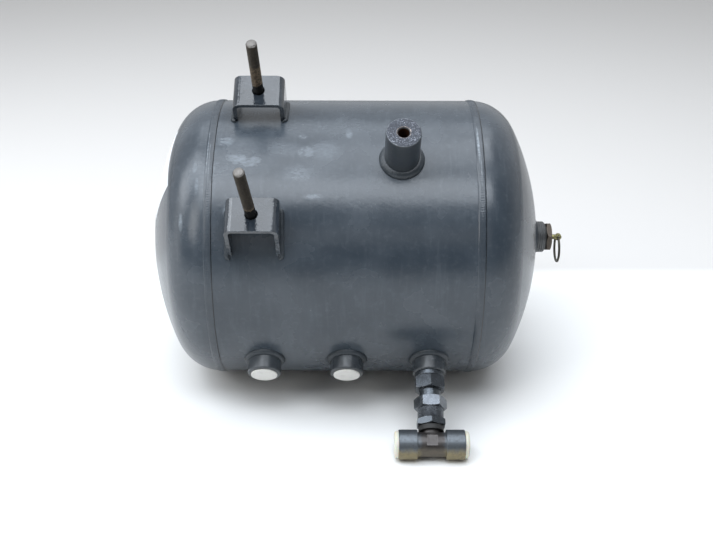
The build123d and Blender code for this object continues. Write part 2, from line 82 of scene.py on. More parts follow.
class Graph:
    """Adds nodes to a tree and joins them.

    A value given to a node is a number, a tuple, a material, or another node's socket.
    """

    def __init__(self, tree: Tree) -> None:
        """Works on the given tree."""
        self.tree = tree

    def feed(self, socket: Socket, value: Any) -> None:
        """Links or sets one input.

        Args:
            socket: The input.
            value: A socket to link from, or a plain value.
        """
        if isinstance(value, Socket):
            self.tree.links.new(value, socket)
        else:
            socket.default_value = value

    def add(self, kind: str, values: Mapping[Any, Any] | None = None, **settings: Any) -> bpy.types.Node:
        """Adds a node.

        Args:
            kind: The node's type.
            values: Input names or indices, each with its value.
            **settings: The node's own properties.

        Returns:
            The node.
        """
        node = self.tree.nodes.new(kind)
        for key, value in settings.items():
            setattr(node, key, value)
        for key, value in (values or {}).items():
            self.feed(node.inputs[key], value)
        return node

    def math(self, operation: str, *values: Any) -> Socket:
        """Result of a Math node."""
        return self.add("ShaderNodeMath", dict(enumerate(values)), operation=operation).outputs[0]

    def times(self, first: Any, second: Any) -> Socket:
        """Product of two numbers."""
        return self.math("MULTIPLY", first, second)

    def plus(self, first: Any, second: Any) -> Socket:
        """Sum of two numbers."""
        return self.math("ADD", first, second)

    def minus(self, first: Any, second: Any) -> Socket:
        """First number less the second."""
        return self.math("SUBTRACT", first, second)

    def over(self, first: Any, second: Any) -> Socket:
        """First number divided by the second."""
        return self.math("DIVIDE", first, second)

    def vector(self, operation: str, *values: Any) -> Socket:
        """Vector result of a Vector Math node."""
        return self.add("ShaderNodeVectorMath", dict(enumerate(values)), operation=operation).outputs[0]

    def dot(self, first: Any, second: Any) -> Socket:
        """Dot product of two vectors."""
        return self.add("ShaderNodeVectorMath", {0: first, 1: second}, operation="DOT_PRODUCT").outputs[1]

    def length(self, value: Any) -> Socket:
        """Length of a vector."""
        return self.add("ShaderNodeVectorMath", {0: value}, operation="LENGTH").outputs[1]

    def joined(self, x: Any, y: Any, z: Any) -> Socket:
        """Vector from three numbers."""
        return self.add("ShaderNodeCombineXYZ", {0: x, 1: y, 2: z}).outputs[0]

    def parts(self, value: Any) -> tuple[Socket, ...]:
        """The three numbers of a vector."""
        return tuple(self.add("ShaderNodeSeparateXYZ", {0: value}).outputs)

    def step(self, value: Any, low: float, high: float, start: Any = 0.0, end: Any = 1.0) -> Socket:
        """Smooth step from start to end.

        Args:
            value: What is compared.
            low: Where the step starts.
            high: Where it ends.
            start: Result at and below low.
            end: Result at and above high.

        Returns:
            The stepped value.
        """
        values = {"Value": value, "From Min": low, "From Max": high, "To Min": start, "To Max": end}
        return self.add("ShaderNodeMapRange", values, interpolation_type="SMOOTHSTEP").outputs[0]

    def band(self, value: Any, low: float, high: float, soft: float) -> Socket:
        """Mask that is 1 from low to high and fades over soft on both sides."""
        rise = self.step(value, low - soft, low)
        fall = self.step(value, high, high + soft, 1.0, 0.0)
        return self.times(rise, fall)

    def mix(self, share: Any, first: Any, second: Any, blend: str = "MIX") -> Socket:
        """Mix of two colours.

        Args:
            share: The second colour's share, from 0 to 1.
            first: The first colour.
            second: The second colour.
            blend: How they are mixed.

        Returns:
            The mixed colour.
        """
        node = self.add("ShaderNodeMix", data_type="RGBA", blend_type=blend)
        for index, value in ((0, share), (6, first), (7, second)):
            plain = isinstance(value, tuple)
            self.feed(node.inputs[index], (*value, 1.0) if plain else value)
        return node.outputs[2]

    def noise(self, place: Any, size: float, detail: float = 3.0, rough: float = 0.5) -> Socket:
        """Noise from 0 to 1 with spots about that size across."""
        values = {"Vector": place, "Scale": 1.0 / size, "Detail": detail, "Roughness": rough}
        return self.add("ShaderNodeTexNoise", values).outputs[0]

    def named(self, name: str, kind: str) -> Socket:
        """Attribute of the points, by name."""
        return self.add("GeometryNodeInputNamedAttribute", {"Name": name}, data_type=kind).outputs[0]

    def stored(self, geometry: Any, name: str, value: Any) -> Socket:
        """Geometry with a number kept on its points under a name."""
        values = {"Geometry": geometry, "Name": name, "Value": value}
        return self.add("GeometryNodeStoreNamedAttribute", values, domain="POINT").outputs[0]

    def group(self, tree: Tree, values: Mapping[str, Any]) -> Outputs:
        """Places a node group.

        Args:
            tree: The group.
            values: Its inputs by name.

        Returns:
            The group's outputs.
        """
        kind = tree.bl_idname.replace("NodeTree", "NodeGroup")
        node = self.tree.nodes.new(kind)
        node.node_tree = tree
        for key, value in values.items():
            self.feed(node.inputs[key], value)
        return node.outputs


def new_group(
    name: str, kind: str, inputs: Mapping[str, tuple[str, Any]], outputs: Mapping[str, str]
) -> tuple[Graph, Outputs, Inputs]:
    """Starts a node group.

    Args:
        name: The group's name.
        kind: "ShaderNodeTree" or "GeometryNodeTree".
        inputs: Each input's socket kind and default value, by name.
        outputs: Each output's socket kind, by name.

    Returns:
        The group's graph, the sockets that its inputs come out of, and those its outputs go into.
    """
    tree = bpy.data.node_groups.new(name, kind)
    for label, (socket, value) in inputs.items():
        made = tree.interface.new_socket(name=label, in_out="INPUT", socket_type=f"NodeSocket{socket}")
        if value is not None:
            made.default_value = value
    for label, socket in outputs.items():
        tree.interface.new_socket(name=label, in_out="OUTPUT", socket_type=f"NodeSocket{socket}")
    graph = Graph(tree)
    return graph, graph.add("NodeGroupInput").outputs, graph.add("NodeGroupOutput").inputs


def once(build: Callable[[], Tree]) -> Callable[[], Tree]:
    """Wraps a function so that the node group it builds is built once and shared."""
    kept: list[Tree] = []

    def shared() -> Tree:
        """The group, built at the first call."""
        if not kept:
            kept.append(build())
        return kept[0]

    return shared


# ---- Where things are ----


@dataclass(frozen=True)
class Layout:
    """Places on the vessel, read from the frame's boxes and mounts."""

    middle: Vector
    radius: float
    up: Vector
    port: Vector
    mounts: Mapping[str, Mapping[str, Any]]

    @classmethod
    def read(cls) -> Layout:
        """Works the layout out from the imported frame."""
        corners = [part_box(f"{side}_girth_weld") for side in ("left", "right")]
        ends = [(low + high) / 2 for low, high in corners]
        low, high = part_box("shell")
        mounts = {mount["name"]: mount for mount in frame["record"]["mounts"]}
        return cls(
            middle=(ends[0] + ends[1]) / 2,
            radius=(high.z - low.z) / 2,
            up=Vector(mounts["support_boss"]["axis"]),
            port=Vector(mounts["left_port"]["axis"]),
            mounts=mounts,
        )

    def on_axis(self, x: float) -> Vector:
        """Point on the vessel's axis."""
        return Vector((x, self.middle.y, self.middle.z))

    def across(self, x: float, direction: Vector) -> Matrix:
        """Local frame on the vessel's axis: its Z along direction, its X along the vessel.

        Args:
            x: Place along the row frame's X.
            direction: Unit vector at right angles to the axis.

        Returns:
            The matrix from local to row frame.
        """
        return frame_matrix(self.on_axis(x), AHEAD, direction.cross(AHEAD), direction)

    def mount_place(self, name: str) -> tuple[Vector, Vector]:
        """Position and axis of a mount."""
        mount = self.mounts[name]
        return Vector(mount["pos_m"]), Vector(mount["axis"]).normalized()


def shade(colour: Colour, share: float) -> Colour:
    """Colour darkened or lightened to that share of itself."""
    return tuple(share * channel for channel in colour)


def frame_matrix(origin: Vector, x: Vector, y: Vector, z: Vector) -> Matrix:
    """Matrix whose columns are three axes and an origin."""
    turn = Matrix((x, y, z)).transposed().to_4x4()
    return Matrix.Translation(origin) @ turn


def all_round(count: int) -> list[Vector]:
    """Directions at even steps round the vessel's axis."""
    turns = (2 * math.pi * index / count for index in range(count))
    return [Vector((0, math.cos(turn), math.sin(turn))) for turn in turns]


def centre_of(node: str) -> Vector:
    """Middle of a node's box."""
    low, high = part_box(node)
    return (low + high) / 2


# ---- Shared shader effects ----


@once
def axis_group() -> Tree:
    """Height along an axis and distance from it, for rings and bands on turned pieces."""
    inputs = {"Place": ("Vector", None), "Origin": ("Vector", None), "Axis": ("Vector", (0.0, 0.0, 1.0))}
    outputs = {"Height": "Float", "Radius": "Float"}
    graph, given, result = new_group("axis_place", "ShaderNodeTree", inputs, outputs)
    offset = graph.vector("SUBTRACT", given["Place"], given["Origin"])
    height = graph.dot(offset, given["Axis"])
    rise = graph.vector("MULTIPLY", given["Axis"], graph.joined(height, height, height))
    flat = graph.vector("SUBTRACT", offset, rise)
    graph.feed(result["Height"], height)
    graph.feed(result["Radius"], graph.length(flat))
    return graph.tree


@once
def vessel_group() -> Tree:
    """Place on the vessel unrolled: distance along it, arc length from the mounting side, and radius."""
    layout = Layout.read()
    graph, given, result = new_group(
        "vessel_place", "ShaderNodeTree", {"Place": ("Vector", None)}, {"Unrolled": "Vector"}
    )
    offset = graph.vector("SUBTRACT", given["Place"], tuple(layout.middle))
    along = graph.parts(offset)[0]
    toward_port = graph.dot(offset, tuple(layout.port))
    toward_up = graph.dot(offset, tuple(layout.up))
    arc = graph.times(graph.math("ARCTAN2", toward_port, toward_up), layout.radius)
    radius = graph.length(graph.joined(0.0, toward_port, toward_up))
    graph.feed(result["Unrolled"], graph.joined(along, arc, radius))
    return graph.tree


@once
def peel_group() -> Tree:
    """Sprayed paint's height: fine orange peel over slow waves in the plate."""
    inputs = {
        "Place": ("Vector", None),
        "Peel": ("Float", 1.0),
        "Waves": ("Float", 1.0),
    }
    graph, given, result = new_group("sprayed_height", "ShaderNodeTree", inputs, {"Height": "Float"})
    fine = graph.noise(given["Place"], 1.7 * MM, 2.0)
    coarse = graph.noise(given["Place"], 5.5 * MM, 1.0)
    slow = graph.noise(given["Place"], 38 * MM, 1.0)
    peel = graph.times(graph.plus(fine, graph.times(coarse, 1.6)), given["Peel"])
    waves = graph.times(graph.times(slow, 9.0), given["Waves"])
    graph.feed(result["Height"], graph.plus(peel, waves))
    return graph.tree


@once
def scuff_and_highlight_group() -> Tree:
    """One pale patch with a broken edge, on unrolled or plain coordinates; it serves for worn patches and for
    painted highlights.
    """
    inputs = {
        "Place": ("Vector", None),
        "Centre": ("Vector", None),
        "Half Size": ("Vector", (0.01, 0.01, 1.0)),
        "Break": ("Float", 0.5),
    }
    graph, given, result = new_group("scuff_and_highlight", "ShaderNodeTree", inputs, {"Mask": "Float"})
    offset = graph.vector("SUBTRACT", given["Place"], given["Centre"])
    spread = graph.length(graph.vector("DIVIDE", offset, given["Half Size"]))
    cloud = graph.noise(given["Place"], 9 * MM, 4.0, 0.65)
    broken = graph.plus(spread, graph.times(graph.minus(cloud, 0.5), given["Break"]))
    graph.feed(result["Mask"], graph.step(broken, 0.35, 1.15, 1.0, 0.0))
    return graph.tree


@once
def edge_group() -> Tree:
    """Mask of worn edges: where the surface bends within a short radius, broken up by noise."""
    inputs = {"Place": ("Vector", None), "Radius": ("Float", 0.6 * MM), "Amount": ("Float", 0.5)}
    graph, given, result = new_group("worn_edge", "ShaderNodeTree", inputs, {"Mask": "Float"})
    rounded = graph.add("ShaderNodeBevel", {"Radius": given["Radius"]}, samples=4).outputs[0]
    plain = graph.add("ShaderNodeNewGeometry").outputs["Normal"]
    bend = graph.step(graph.dot(rounded, plain), 0.93, 0.995, 1.0, 0.0)
    cloud = graph.step(graph.noise(given["Place"], 2.2 * MM, 4.0, 0.6), 0.38, 0.62)
    graph.feed(result["Mask"], graph.times(graph.times(bend, cloud), given["Amount"]))
    return graph.tree


@once
def grime_group() -> Tree:
    """Cloudy dirt or tarnish between 0 and 1."""
    inputs = {"Place": ("Vector", None), "Size": ("Float", 0.01), "Cover": ("Float", 0.5)}
    graph, given, result = new_group("grime", "ShaderNodeTree", inputs, {"Mask": "Float"})
    scaled = graph.vector("DIVIDE", given["Place"], graph.joined(given["Size"], given["Size"], given["Size"]))
    cloud = graph.noise(scaled, 1.0, 6.0, 0.62)
    edge = graph.minus(0.8, graph.times(given["Cover"], 0.6))
    rise = graph.over(graph.minus(cloud, graph.minus(edge, 0.12)), 0.24)
    graph.feed(result["Mask"], graph.step(rise, 0.0, 1.0))
    return graph.tree


def turned_place(graph: Graph, place: Socket, origin: Triple, axis: Triple) -> Outputs:
    """Height along an axis from an origin on it, and distance from the axis."""
    return graph.group(axis_group(), {"Place": place, "Origin": origin, "Axis": axis})


def worn_edges(graph: Graph, place: Socket, radius: float, amount: Any) -> Socket:
    """Mask of the edges worn within a radius."""
    return graph.group(edge_group(), {"Place": place, "Radius": radius, "Amount": amount})["Mask"]


def grime(graph: Graph, place: Socket, size: float, cover: float) -> Socket:
    """Mask of cloudy dirt in spots of about that size."""
    return graph.group(grime_group(), {"Place": place, "Size": size, "Cover": cover})["Mask"]


# ---- Finishes ----


shared_materials: dict[str, Material] = {}


@dataclass(frozen=True)
class Finish:
    """A material, built once under its name and shared by every piece that wears it."""

    name: str
    colour: Colour
    roughness: float = 0.5
    metallic: float = 0.0

    def material(self) -> Material:
        """The Blender material."""
        if self.name in shared_materials:
            return shared_materials[self.name]
        made = bpy.data.materials.new(f"{self.name}_finish")
        shared_materials[self.name] = made
        made.use_nodes = True
        made.diffuse_color = (*self.colour, 1.0)
        graph = Graph(made.node_tree)
        shader = made.node_tree.nodes["Principled BSDF"]
        place = graph.add("ShaderNodeTexCoord").outputs["Object"]
        self.wire(graph, shader.inputs, place)
        return made

    def wire(self, graph: Graph, shader: Inputs, place: Socket) -> None:
        """Builds the material's own nodes.

        Args:
            graph: The material's graph.
            shader: The Principled shader's inputs.
            place: Object coordinates.
        """
        raise NotImplementedError

    def bump(self, graph: Graph, shader: Inputs, height: Any, depth: float) -> None:
        """Feeds a height through a Bump node into the shader's normal."""
        node = graph.add("ShaderNodeBump", {"Height": height, "Distance": depth, "Strength": 1.0})
        graph.feed(shader["Normal"], node.outputs[0])


@dataclass(frozen=True)
class ScuffAndHighlight:
    """A pale patch on the vessel, in millimetres and on its unrolled surface: some are worn paint, some are
    painted highlights.

    Attributes:
        along: From the vessel's middle towards the drain valve.
        arc: From the mounting side's crown line towards the ports.
        length: Half its size along the vessel.
        height: Half its size round the vessel.
        strength: How strongly it shows.
    """

    along: float
    arc: float
    length: float
    height: float
    strength: float


@dataclass(frozen=True)
class TankPaint(Finish):
    """Blue-grey sprayed paint with orange peel, dusty clouds and stripes, worn patches and painted highlight
    patches.
    """

    dust_and_highlight: Colour = (0.27, 0.31, 0.35)
    peel: float = 1.0
    waves: float = 1.0
    scuffs_and_highlights: tuple[ScuffAndHighlight, ...] = ()
    edge: float = 0.0
    seam: float = 0.0
    gloss: float = 0.55

    def wire(self, graph: Graph, shader: Inputs, place: Socket) -> None:
        """Mixes dusty clouds and stripes, worn patches and painted highlight patches over the paint; the
        patches are rougher than it.

        Where seam is given, both girth beads at that distance from the vessel's middle get fine ridges on
        their left half and a painted shadow, a dark line along their right edge, on the raised bead's side
        away from the light.
        """
        unrolled = graph.group(vessel_group(), {"Place": place})["Unrolled"]
        cloud = graph.step(graph.noise(place, 50 * MM, 5.0, 0.55), 0.32, 0.72)
        fine = graph.step(graph.noise(place, 5 * MM, 4.0, 0.6), 0.5, 0.75)
        squeezed = graph.vector("MULTIPLY", unrolled, (1.0, 0.12, 1.0))
        streak = graph.step(graph.noise(squeezed, 5 * MM, 4.0, 0.6), 0.52, 0.74)
        dusty = graph.times(graph.plus(cloud, graph.times(streak, 0.5)), 0.08)
        dusty = graph.plus(dusty, graph.times(fine, 0.05))
        rubbed_and_highlit: Any = 0.0
        # Pale patches: worn paint, and painted highlights where they stand for reflected light.
        for scuff_and_highlight in self.scuffs_and_highlights:
            values = {
                "Place": unrolled,
                "Centre": (scuff_and_highlight.along * MM, scuff_and_highlight.arc * MM, 0.0),
                "Half Size": (scuff_and_highlight.length * MM, scuff_and_highlight.height * MM, 100.0),
                "Break": 0.9,
            }
            mask = graph.group(scuff_and_highlight_group(), values)["Mask"]
            rubbed_and_highlit = graph.math("MAXIMUM", rubbed_and_highlit, graph.times(mask, scuff_and_highlight.strength))
        if self.scuffs_and_highlights:
            scratch = graph.noise(graph.vector("MULTIPLY", unrolled, (0.45, 1.0, 1.0)), 2.6 * MM, 5.0, 0.7)
            rubbed_and_highlit = graph.times(rubbed_and_highlit, graph.step(scratch, 0.36, 0.66, 0.35, 1.0))
        share = graph.plus(dusty, rubbed_and_highlit)
        if self.edge:
            worn = worn_edges(graph, place, 0.8 * MM, self.edge)
            share = graph.plus(share, worn)
        colour = graph.mix(graph.math("MINIMUM", share, 0.9), self.colour, self.dust_and_highlight)
        ridges: Any = 0.0
        if self.seam:
            along = graph.parts(unrolled)[0]
            local = graph.minus(along, graph.times(graph.math("SIGN", along), self.seam))
            # Painted shadow: a dark line along each girth bead's right edge, where the raised bead is in
            # shade.
            painted_shadow_line = graph.band(local, 3.2 * MM, 4.2 * MM, 0.3 * MM)
            colour = graph.mix(graph.times(painted_shadow_line, 0.85), colour, (0.006, 0.008, 0.010))
            wave = graph.math("SINE", graph.times(local, 2 * math.pi / (1.5 * MM)))
            ridges = graph.times(wave, graph.band(local, -4 * MM, 0.0, 0.5 * MM))
        graph.feed(shader["Base Color"], colour)
        rough = graph.plus(graph.times(cloud, 0.05), self.roughness)
        rough = graph.plus(rough, graph.times(rubbed_and_highlit, 0.12))
        graph.feed(shader["Roughness"], rough)
        shader["Specular IOR Level"].default_value = self.gloss
        height = graph.group(peel_group(), {"Place": place, "Peel": self.peel, "Waves": self.waves})["Height"]
        self.bump(graph, shader, graph.plus(height, ridges), 0.035 * MM)


@dataclass(frozen=True)
class BossFace(Finish):
    """Painted boss whose sawn end is rough and lighter, with bare metal round its hole."""

    origin: Triple = (0.0, 0.0, 0.0)
    axis: Triple = (0.0, 0.0, 1.0)
    bore: float = 5.1 * MM
    rim: float = 16 * MM
    bare: Colour = (0.40, 0.35, 0.33)
    rust: Colour = (0.045, 0.022, 0.012)
    face: Colour = (0.030, 0.035, 0.048)
    chips: Colour = (0.36, 0.39, 0.45)

    def wire(self, graph: Graph, shader: Inputs, place: Socket) -> None:
        """Rings by radius on the end face, plain dark paint on the side."""
        ring = turned_place(graph, place, self.origin, self.axis)
        end = graph.step(ring["Height"], -0.9 * MM, -0.15 * MM)
        mottle = grime(graph, place, 2.4 * MM, 0.5)
        cloud = grime(graph, place, 12 * MM, 0.5)
        side = graph.mix(graph.times(cloud, 0.25), self.colour, self.face)
        chips = graph.step(graph.noise(place, 1.1 * MM, 3.0, 0.7), 0.52, 0.66)
        chips = graph.times(chips, graph.step(cloud, 0.0, 1.0, 0.35, 0.9))
        face = graph.mix(chips, self.face, self.chips)
        ragged = graph.plus(ring["Radius"], graph.times(graph.minus(mottle, 0.5), 0.5 * MM))
        rim = graph.band(ragged, self.rim - 0.8 * MM, self.rim - 0.3 * MM, 0.3 * MM)
        face = graph.mix(graph.times(rim, 0.5), face, (0.30, 0.33, 0.36))
        bare = graph.step(ragged, self.bore + 1.0 * MM, self.bore + 1.7 * MM, 1.0, 0.0)
        face = graph.mix(bare, face, self.bare)
        colour = graph.mix(end, side, face)
        inside = graph.step(ring["Radius"], self.bore + 0.1 * MM, self.bore + 0.5 * MM, 1.0, 0.0)
        deep = graph.step(ring["Height"], -2.2 * MM, -1.0 * MM, 1.0, 0.0)
        colour = graph.mix(graph.times(inside, deep), colour, self.rust)
        graph.feed(shader["Base Color"], colour)
        graph.feed(shader["Metallic"], graph.times(graph.times(bare, end), 0.6))
        graph.feed(shader["Roughness"], graph.step(end, 0.0, 1.0, self.roughness, 0.42))
        shader["Specular IOR Level"].default_value = 0.3
        height = graph.group(peel_group(), {"Place": place, "Peel": 1.0, "Waves": 0.0})["Height"]
        sawn = graph.times(graph.times(mottle, end), 3.0)
        self.bump(graph, shader, graph.plus(height, sawn), 0.05 * MM)


@dataclass(frozen=True)
class StudSteel(Finish):
    """Threaded stud: painted root, a dirty band, dark thread and a bright tip."""

    origin: Triple = (0.0, 0.0, 0.0)
    axis: Triple = (0.0, 0.0, 1.0)
    painted: float = 11.5 * MM
    dirt_top: float = 36 * MM
    dirt: Colour = (0.125, 0.098, 0.070)
    paint: Colour = (0.003, 0.0035, 0.004)
    bright: Colour = (0.20, 0.19, 0.18)
    tip: float = 64.6 * MM

    def wire(self, graph: Graph, shader: Inputs, place: Socket) -> None:
        """Bands by height along the stud, their borders broken up."""
        height = turned_place(graph, place, self.origin, self.axis)["Height"]
        cloud = graph.noise(place, 3 * MM, 5.0, 0.65)
        ragged = graph.plus(height, graph.times(graph.minus(cloud, 0.5), 8 * MM))
        speck = grime(graph, place, 1.9 * MM, 0.5)
        crumbs = graph.mix(speck, shade(self.dirt, 0.45), shade(self.dirt, 1.25))
        steel = graph.mix(graph.times(speck, 0.22), self.colour, self.dirt)
        soiled = graph.step(ragged, self.dirt_top - 1.5 * MM, self.dirt_top + 1.5 * MM, 1.0, 0.0)
        colour = graph.mix(graph.times(soiled, graph.step(cloud, 0.2, 0.5, 0.5, 1.0)), steel, crumbs)
        root = graph.step(ragged, self.painted - 0.5 * MM, self.painted + 0.5 * MM, 1.0, 0.0)
        colour = graph.mix(root, colour, self.paint)
        shiny = graph.step(height, self.tip, self.tip + 0.5 * MM)
        colour = graph.mix(shiny, colour, self.bright)
        graph.feed(shader["Base Color"], colour)
        bare = graph.minus(1.0, graph.math("MAXIMUM", root, graph.times(soiled, 0.8)))
        graph.feed(shader["Metallic"], graph.times(bare, self.metallic))
        rough = graph.step(root, 0.0, 1.0, self.roughness, 0.25)
        graph.feed(shader["Roughness"], graph.step(shiny, 0.0, 1.0, rough, 0.42))
        shader["Specular IOR Level"].default_value = 0.12
        self.bump(graph, shader, speck, 0.22 * MM)


@dataclass(frozen=True)
class CoatedSteel(Finish):
    """Dark chemical coating over machined steel, rubbed through on its edges."""

    bare: Colour = (0.34, 0.35, 0.36)
    wear: float = 0.7
    grain: float = 0.02 * MM
    origin: Triple = (0.0, 0.0, 0.0)
    axis: Triple = (0.0, 0.0, 1.0)
    turned: tuple[float, float] = (0.0, 0.0)
    pitch: float = 1.0 * MM

    def wire(self, graph: Graph, shader: Inputs, place: Socket) -> None:
        """Coating with cloudy tone and worn edges, and turned grooves between two heights on its axis."""
        cloud = grime(graph, place, 7 * MM, 0.5)
        worn = worn_edges(graph, place, 0.5 * MM, self.wear)
        colour = graph.mix(graph.times(cloud, 0.4), self.colour, shade(self.colour, 1.7))
        graph.feed(shader["Base Color"], graph.mix(worn, colour, self.bare))
        graph.feed(shader["Metallic"], graph.plus(graph.times(worn, 0.3), self.metallic))
        graph.feed(shader["Roughness"], graph.plus(graph.times(cloud, 0.1), self.roughness))
        if not self.turned[1]:
            self.bump(graph, shader, graph.noise(place, 0.8 * MM, 3.0), self.grain)
            return
        height = turned_place(graph, place, self.origin, self.axis)["Height"]
        wave = graph.math("SINE", graph.times(height, 2 * math.pi / self.pitch))
        grooved = graph.times(wave, graph.band(height, *self.turned, 0.2 * MM))
        self.bump(graph, shader, grooved, 0.22 * MM)


@dataclass(frozen=True)
class TeeZinc(Finish):
    """Dull zinc with an olive cast towards its underside, partly the zinc's own tint and partly painted
    reflection, painted shade on the waist between the arms, and dirt specks.
    """

    olive: Colour = (0.20, 0.165, 0.085)
    stain_and_shade: Colour = (0.055, 0.045, 0.040)
    level: float = 0.0
    reach: float = 9 * MM
    centre: float = 0.0

    def wire(self, graph: Graph, shader: Inputs, place: Socket) -> None:
        """Olive below the level and zinc above it, a split that is partly painted reflection; painted shade
        on the waist between the arms; dirt specks.
        """
        x, _, z = graph.parts(place)
        cloud = graph.noise(place, 6 * MM, 5.0, 0.6)
        drift = graph.times(graph.minus(cloud, 0.5), 10 * MM)
        # Painted reflection, partly the zinc's own olive tint: the colour splits by height at the level.
        low = graph.step(graph.plus(z, drift), self.level - 4 * MM, self.level + 4 * MM, 1.0, 0.0)
        colour = graph.mix(low, self.colour, self.olive)
        # Painted shade: darker on the narrower waist between the arms.
        aside = graph.math("ABSOLUTE", graph.minus(x, self.centre))
        waist_shade = graph.step(graph.plus(aside, drift), self.reach, self.reach + 5 * MM, 1.0, 0.0)
        colour = graph.mix(graph.times(waist_shade, 0.8), colour, self.stain_and_shade)
        speck = grime(graph, place, 2.5 * MM, 0.35)
        colour = graph.mix(graph.times(speck, 0.35), colour, self.stain_and_shade)
        worn = worn_edges(graph, place, 0.5 * MM, 0.5)
        graph.feed(shader["Base Color"], graph.mix(worn, colour, (0.30, 0.29, 0.27)))
        graph.feed(shader["Metallic"], graph.step(low, 0.0, 1.0, self.metallic, self.metallic * 0.35))
        graph.feed(shader["Roughness"], graph.plus(graph.times(speck, 0.15), self.roughness))
        self.bump(graph, shader, graph.noise(place, 1.2 * MM, 4.0), 0.06 * MM)


@dataclass(frozen=True)
class Moulding(Finish):
    """Moulded plastic with faint mottling, a little grime and a matt skin."""

    grime: Colour = (0.45, 0.43, 0.38)
    cover: float = 0.3
    glow: float = 0.0

    def wire(self, graph: Graph, shader: Inputs, place: Socket) -> None:
        """Plain colour under a thin, patchy film of dirt."""
        film = grime(graph, place, 5 * MM, self.cover)
        graph.feed(shader["Base Color"], graph.mix(graph.times(film, 0.35), self.colour, self.grime))
        graph.feed(shader["Roughness"], graph.plus(graph.times(film, 0.15), self.roughness))
        if self.glow:
            shader["Subsurface Weight"].default_value = self.glow
            shader["Subsurface Scale"].default_value = 2 * MM
        self.bump(graph, shader, graph.noise(place, 0.5 * MM, 2.0), 0.012 * MM)


@dataclass(frozen=True)
class PlainMetal(Finish):
    """Wire, brass or plated steel with tarnished patches, and a painted shade line where split is given."""

    tarnish_and_shade: Colour = (0.08, 0.07, 0.05)
    cover: float = 0.5
    split: Triple | None = None
    axis: Triple = (1.0, 0.0, 0.0)

    def wire(self, graph: Graph, shader: Inputs, place: Socket) -> None:
        """Metal under patchy tarnishing; a painted shade line through split, the shade between two turns of
        wire.
        """
        film = grime(graph, place, 3 * MM, self.cover)
        if self.split is not None:
            # Painted shade: a dark line where the ring's two turns of wire meet.
            offset = graph.dot(graph.vector("SUBTRACT", place, self.split), self.axis)
            line = graph.step(graph.math("ABSOLUTE", offset), 0.15 * MM, 0.35 * MM, 1.0, 0.0)
            film = graph.math("MAXIMUM", film, line)
        graph.feed(shader["Base Color"], graph.mix(graph.times(film, 0.8), self.colour, self.tarnish_and_shade))
        graph.feed(shader["Metallic"], graph.step(film, 0.0, 1.0, self.metallic, self.metallic * 0.6))
        graph.feed(shader["Roughness"], graph.plus(graph.times(film, 0.2), self.roughness))
        self.bump(graph, shader, graph.noise(place, 0.6 * MM, 3.0), 0.02 * MM)


@dataclass(frozen=True)
class Rubber(Finish):
    """Matt black rubber with a bloom of dust."""

    def wire(self, graph: Graph, shader: Inputs, place: Socket) -> None:
        """Black with a pale bloom."""
        bloom = grime(graph, place, 4 * MM, 0.4)
        graph.feed(shader["Base Color"], graph.mix(graph.times(bloom, 0.2), self.colour, (0.1, 0.1, 0.1)))
        graph.feed(shader["Roughness"], graph.plus(graph.times(bloom, 0.15), self.roughness))
        self.bump(graph, shader, graph.noise(place, 0.7 * MM, 3.0), 0.02 * MM)


@dataclass(frozen=True)
class LabelFilm(Finish):
    """White printed film: a ruled border and ruled rows, with no writing."""

    matrix: tuple[tuple[float, ...], ...] = ()
    length: float = 70 * MM
    width: float = 50 * MM
    ink: Colour = (0.10, 0.11, 0.13)
    rows: int = 6

    def wire(self, graph: Graph, shader: Inputs, place: Socket) -> None:
        """Lines on the label's own axes."""
        own = [graph.dot(place, tuple(row[:3])) for row in self.matrix[:2]]
        across, down = (graph.plus(value, row[3]) for value, row in zip(own, self.matrix))
        in_x = graph.minus(self.length / 2, graph.math("ABSOLUTE", across))
        in_y = graph.minus(self.width / 2, graph.math("ABSOLUTE", down))
        inset = graph.math("MINIMUM", in_x, in_y)
        border = graph.band(inset, 2.2 * MM, 2.7 * MM, 0.1 * MM)
        pitch = (self.width - 12 * MM) / self.rows
        row = graph.math("ABSOLUTE", graph.minus(graph.math("PINGPONG", down, pitch / 2), 0.2 * MM))
        rule = graph.step(row, 0.15 * MM, 0.25 * MM, 1.0, 0.0)
        inner = graph.step(inset, 5.4 * MM, 5.6 * MM)
        ink = graph.math("MAXIMUM", border, graph.times(rule, inner))
        film = grime(graph, place, 12 * MM, 0.4)
        worn = graph.mix(graph.times(film, 0.25), self.colour, (0.5, 0.5, 0.48))
        graph.feed(shader["Base Color"], graph.mix(graph.times(ink, 0.75), worn, self.ink))
        graph.feed(shader["Roughness"], graph.plus(graph.times(film, 0.1), self.roughness))
        self.bump(graph, shader, graph.noise(place, 14 * MM, 2.0), 0.2 * MM)


@dataclass(frozen=True)
class FloorPaper(Finish):
    """Pale paper."""

    far: Colour = (0.68, 0.665, 0.65)

    def wire(self, graph: Graph, shader: Inputs, place: Socket) -> None:
        """Nearly white in front, a shade greyer behind, with the faintest clouding."""
        cloud = graph.noise(place, 400 * MM, 2.0)
        front = graph.mix(graph.times(cloud, 0.08), self.colour, (0.7, 0.7, 0.7))
        behind = graph.step(graph.parts(place)[1], 0.205, 0.235)
        graph.feed(shader["Base Color"], graph.mix(behind, front, self.far))
        shader["Roughness"].default_value = self.roughness
        shader["Specular IOR Level"].default_value = 0.25


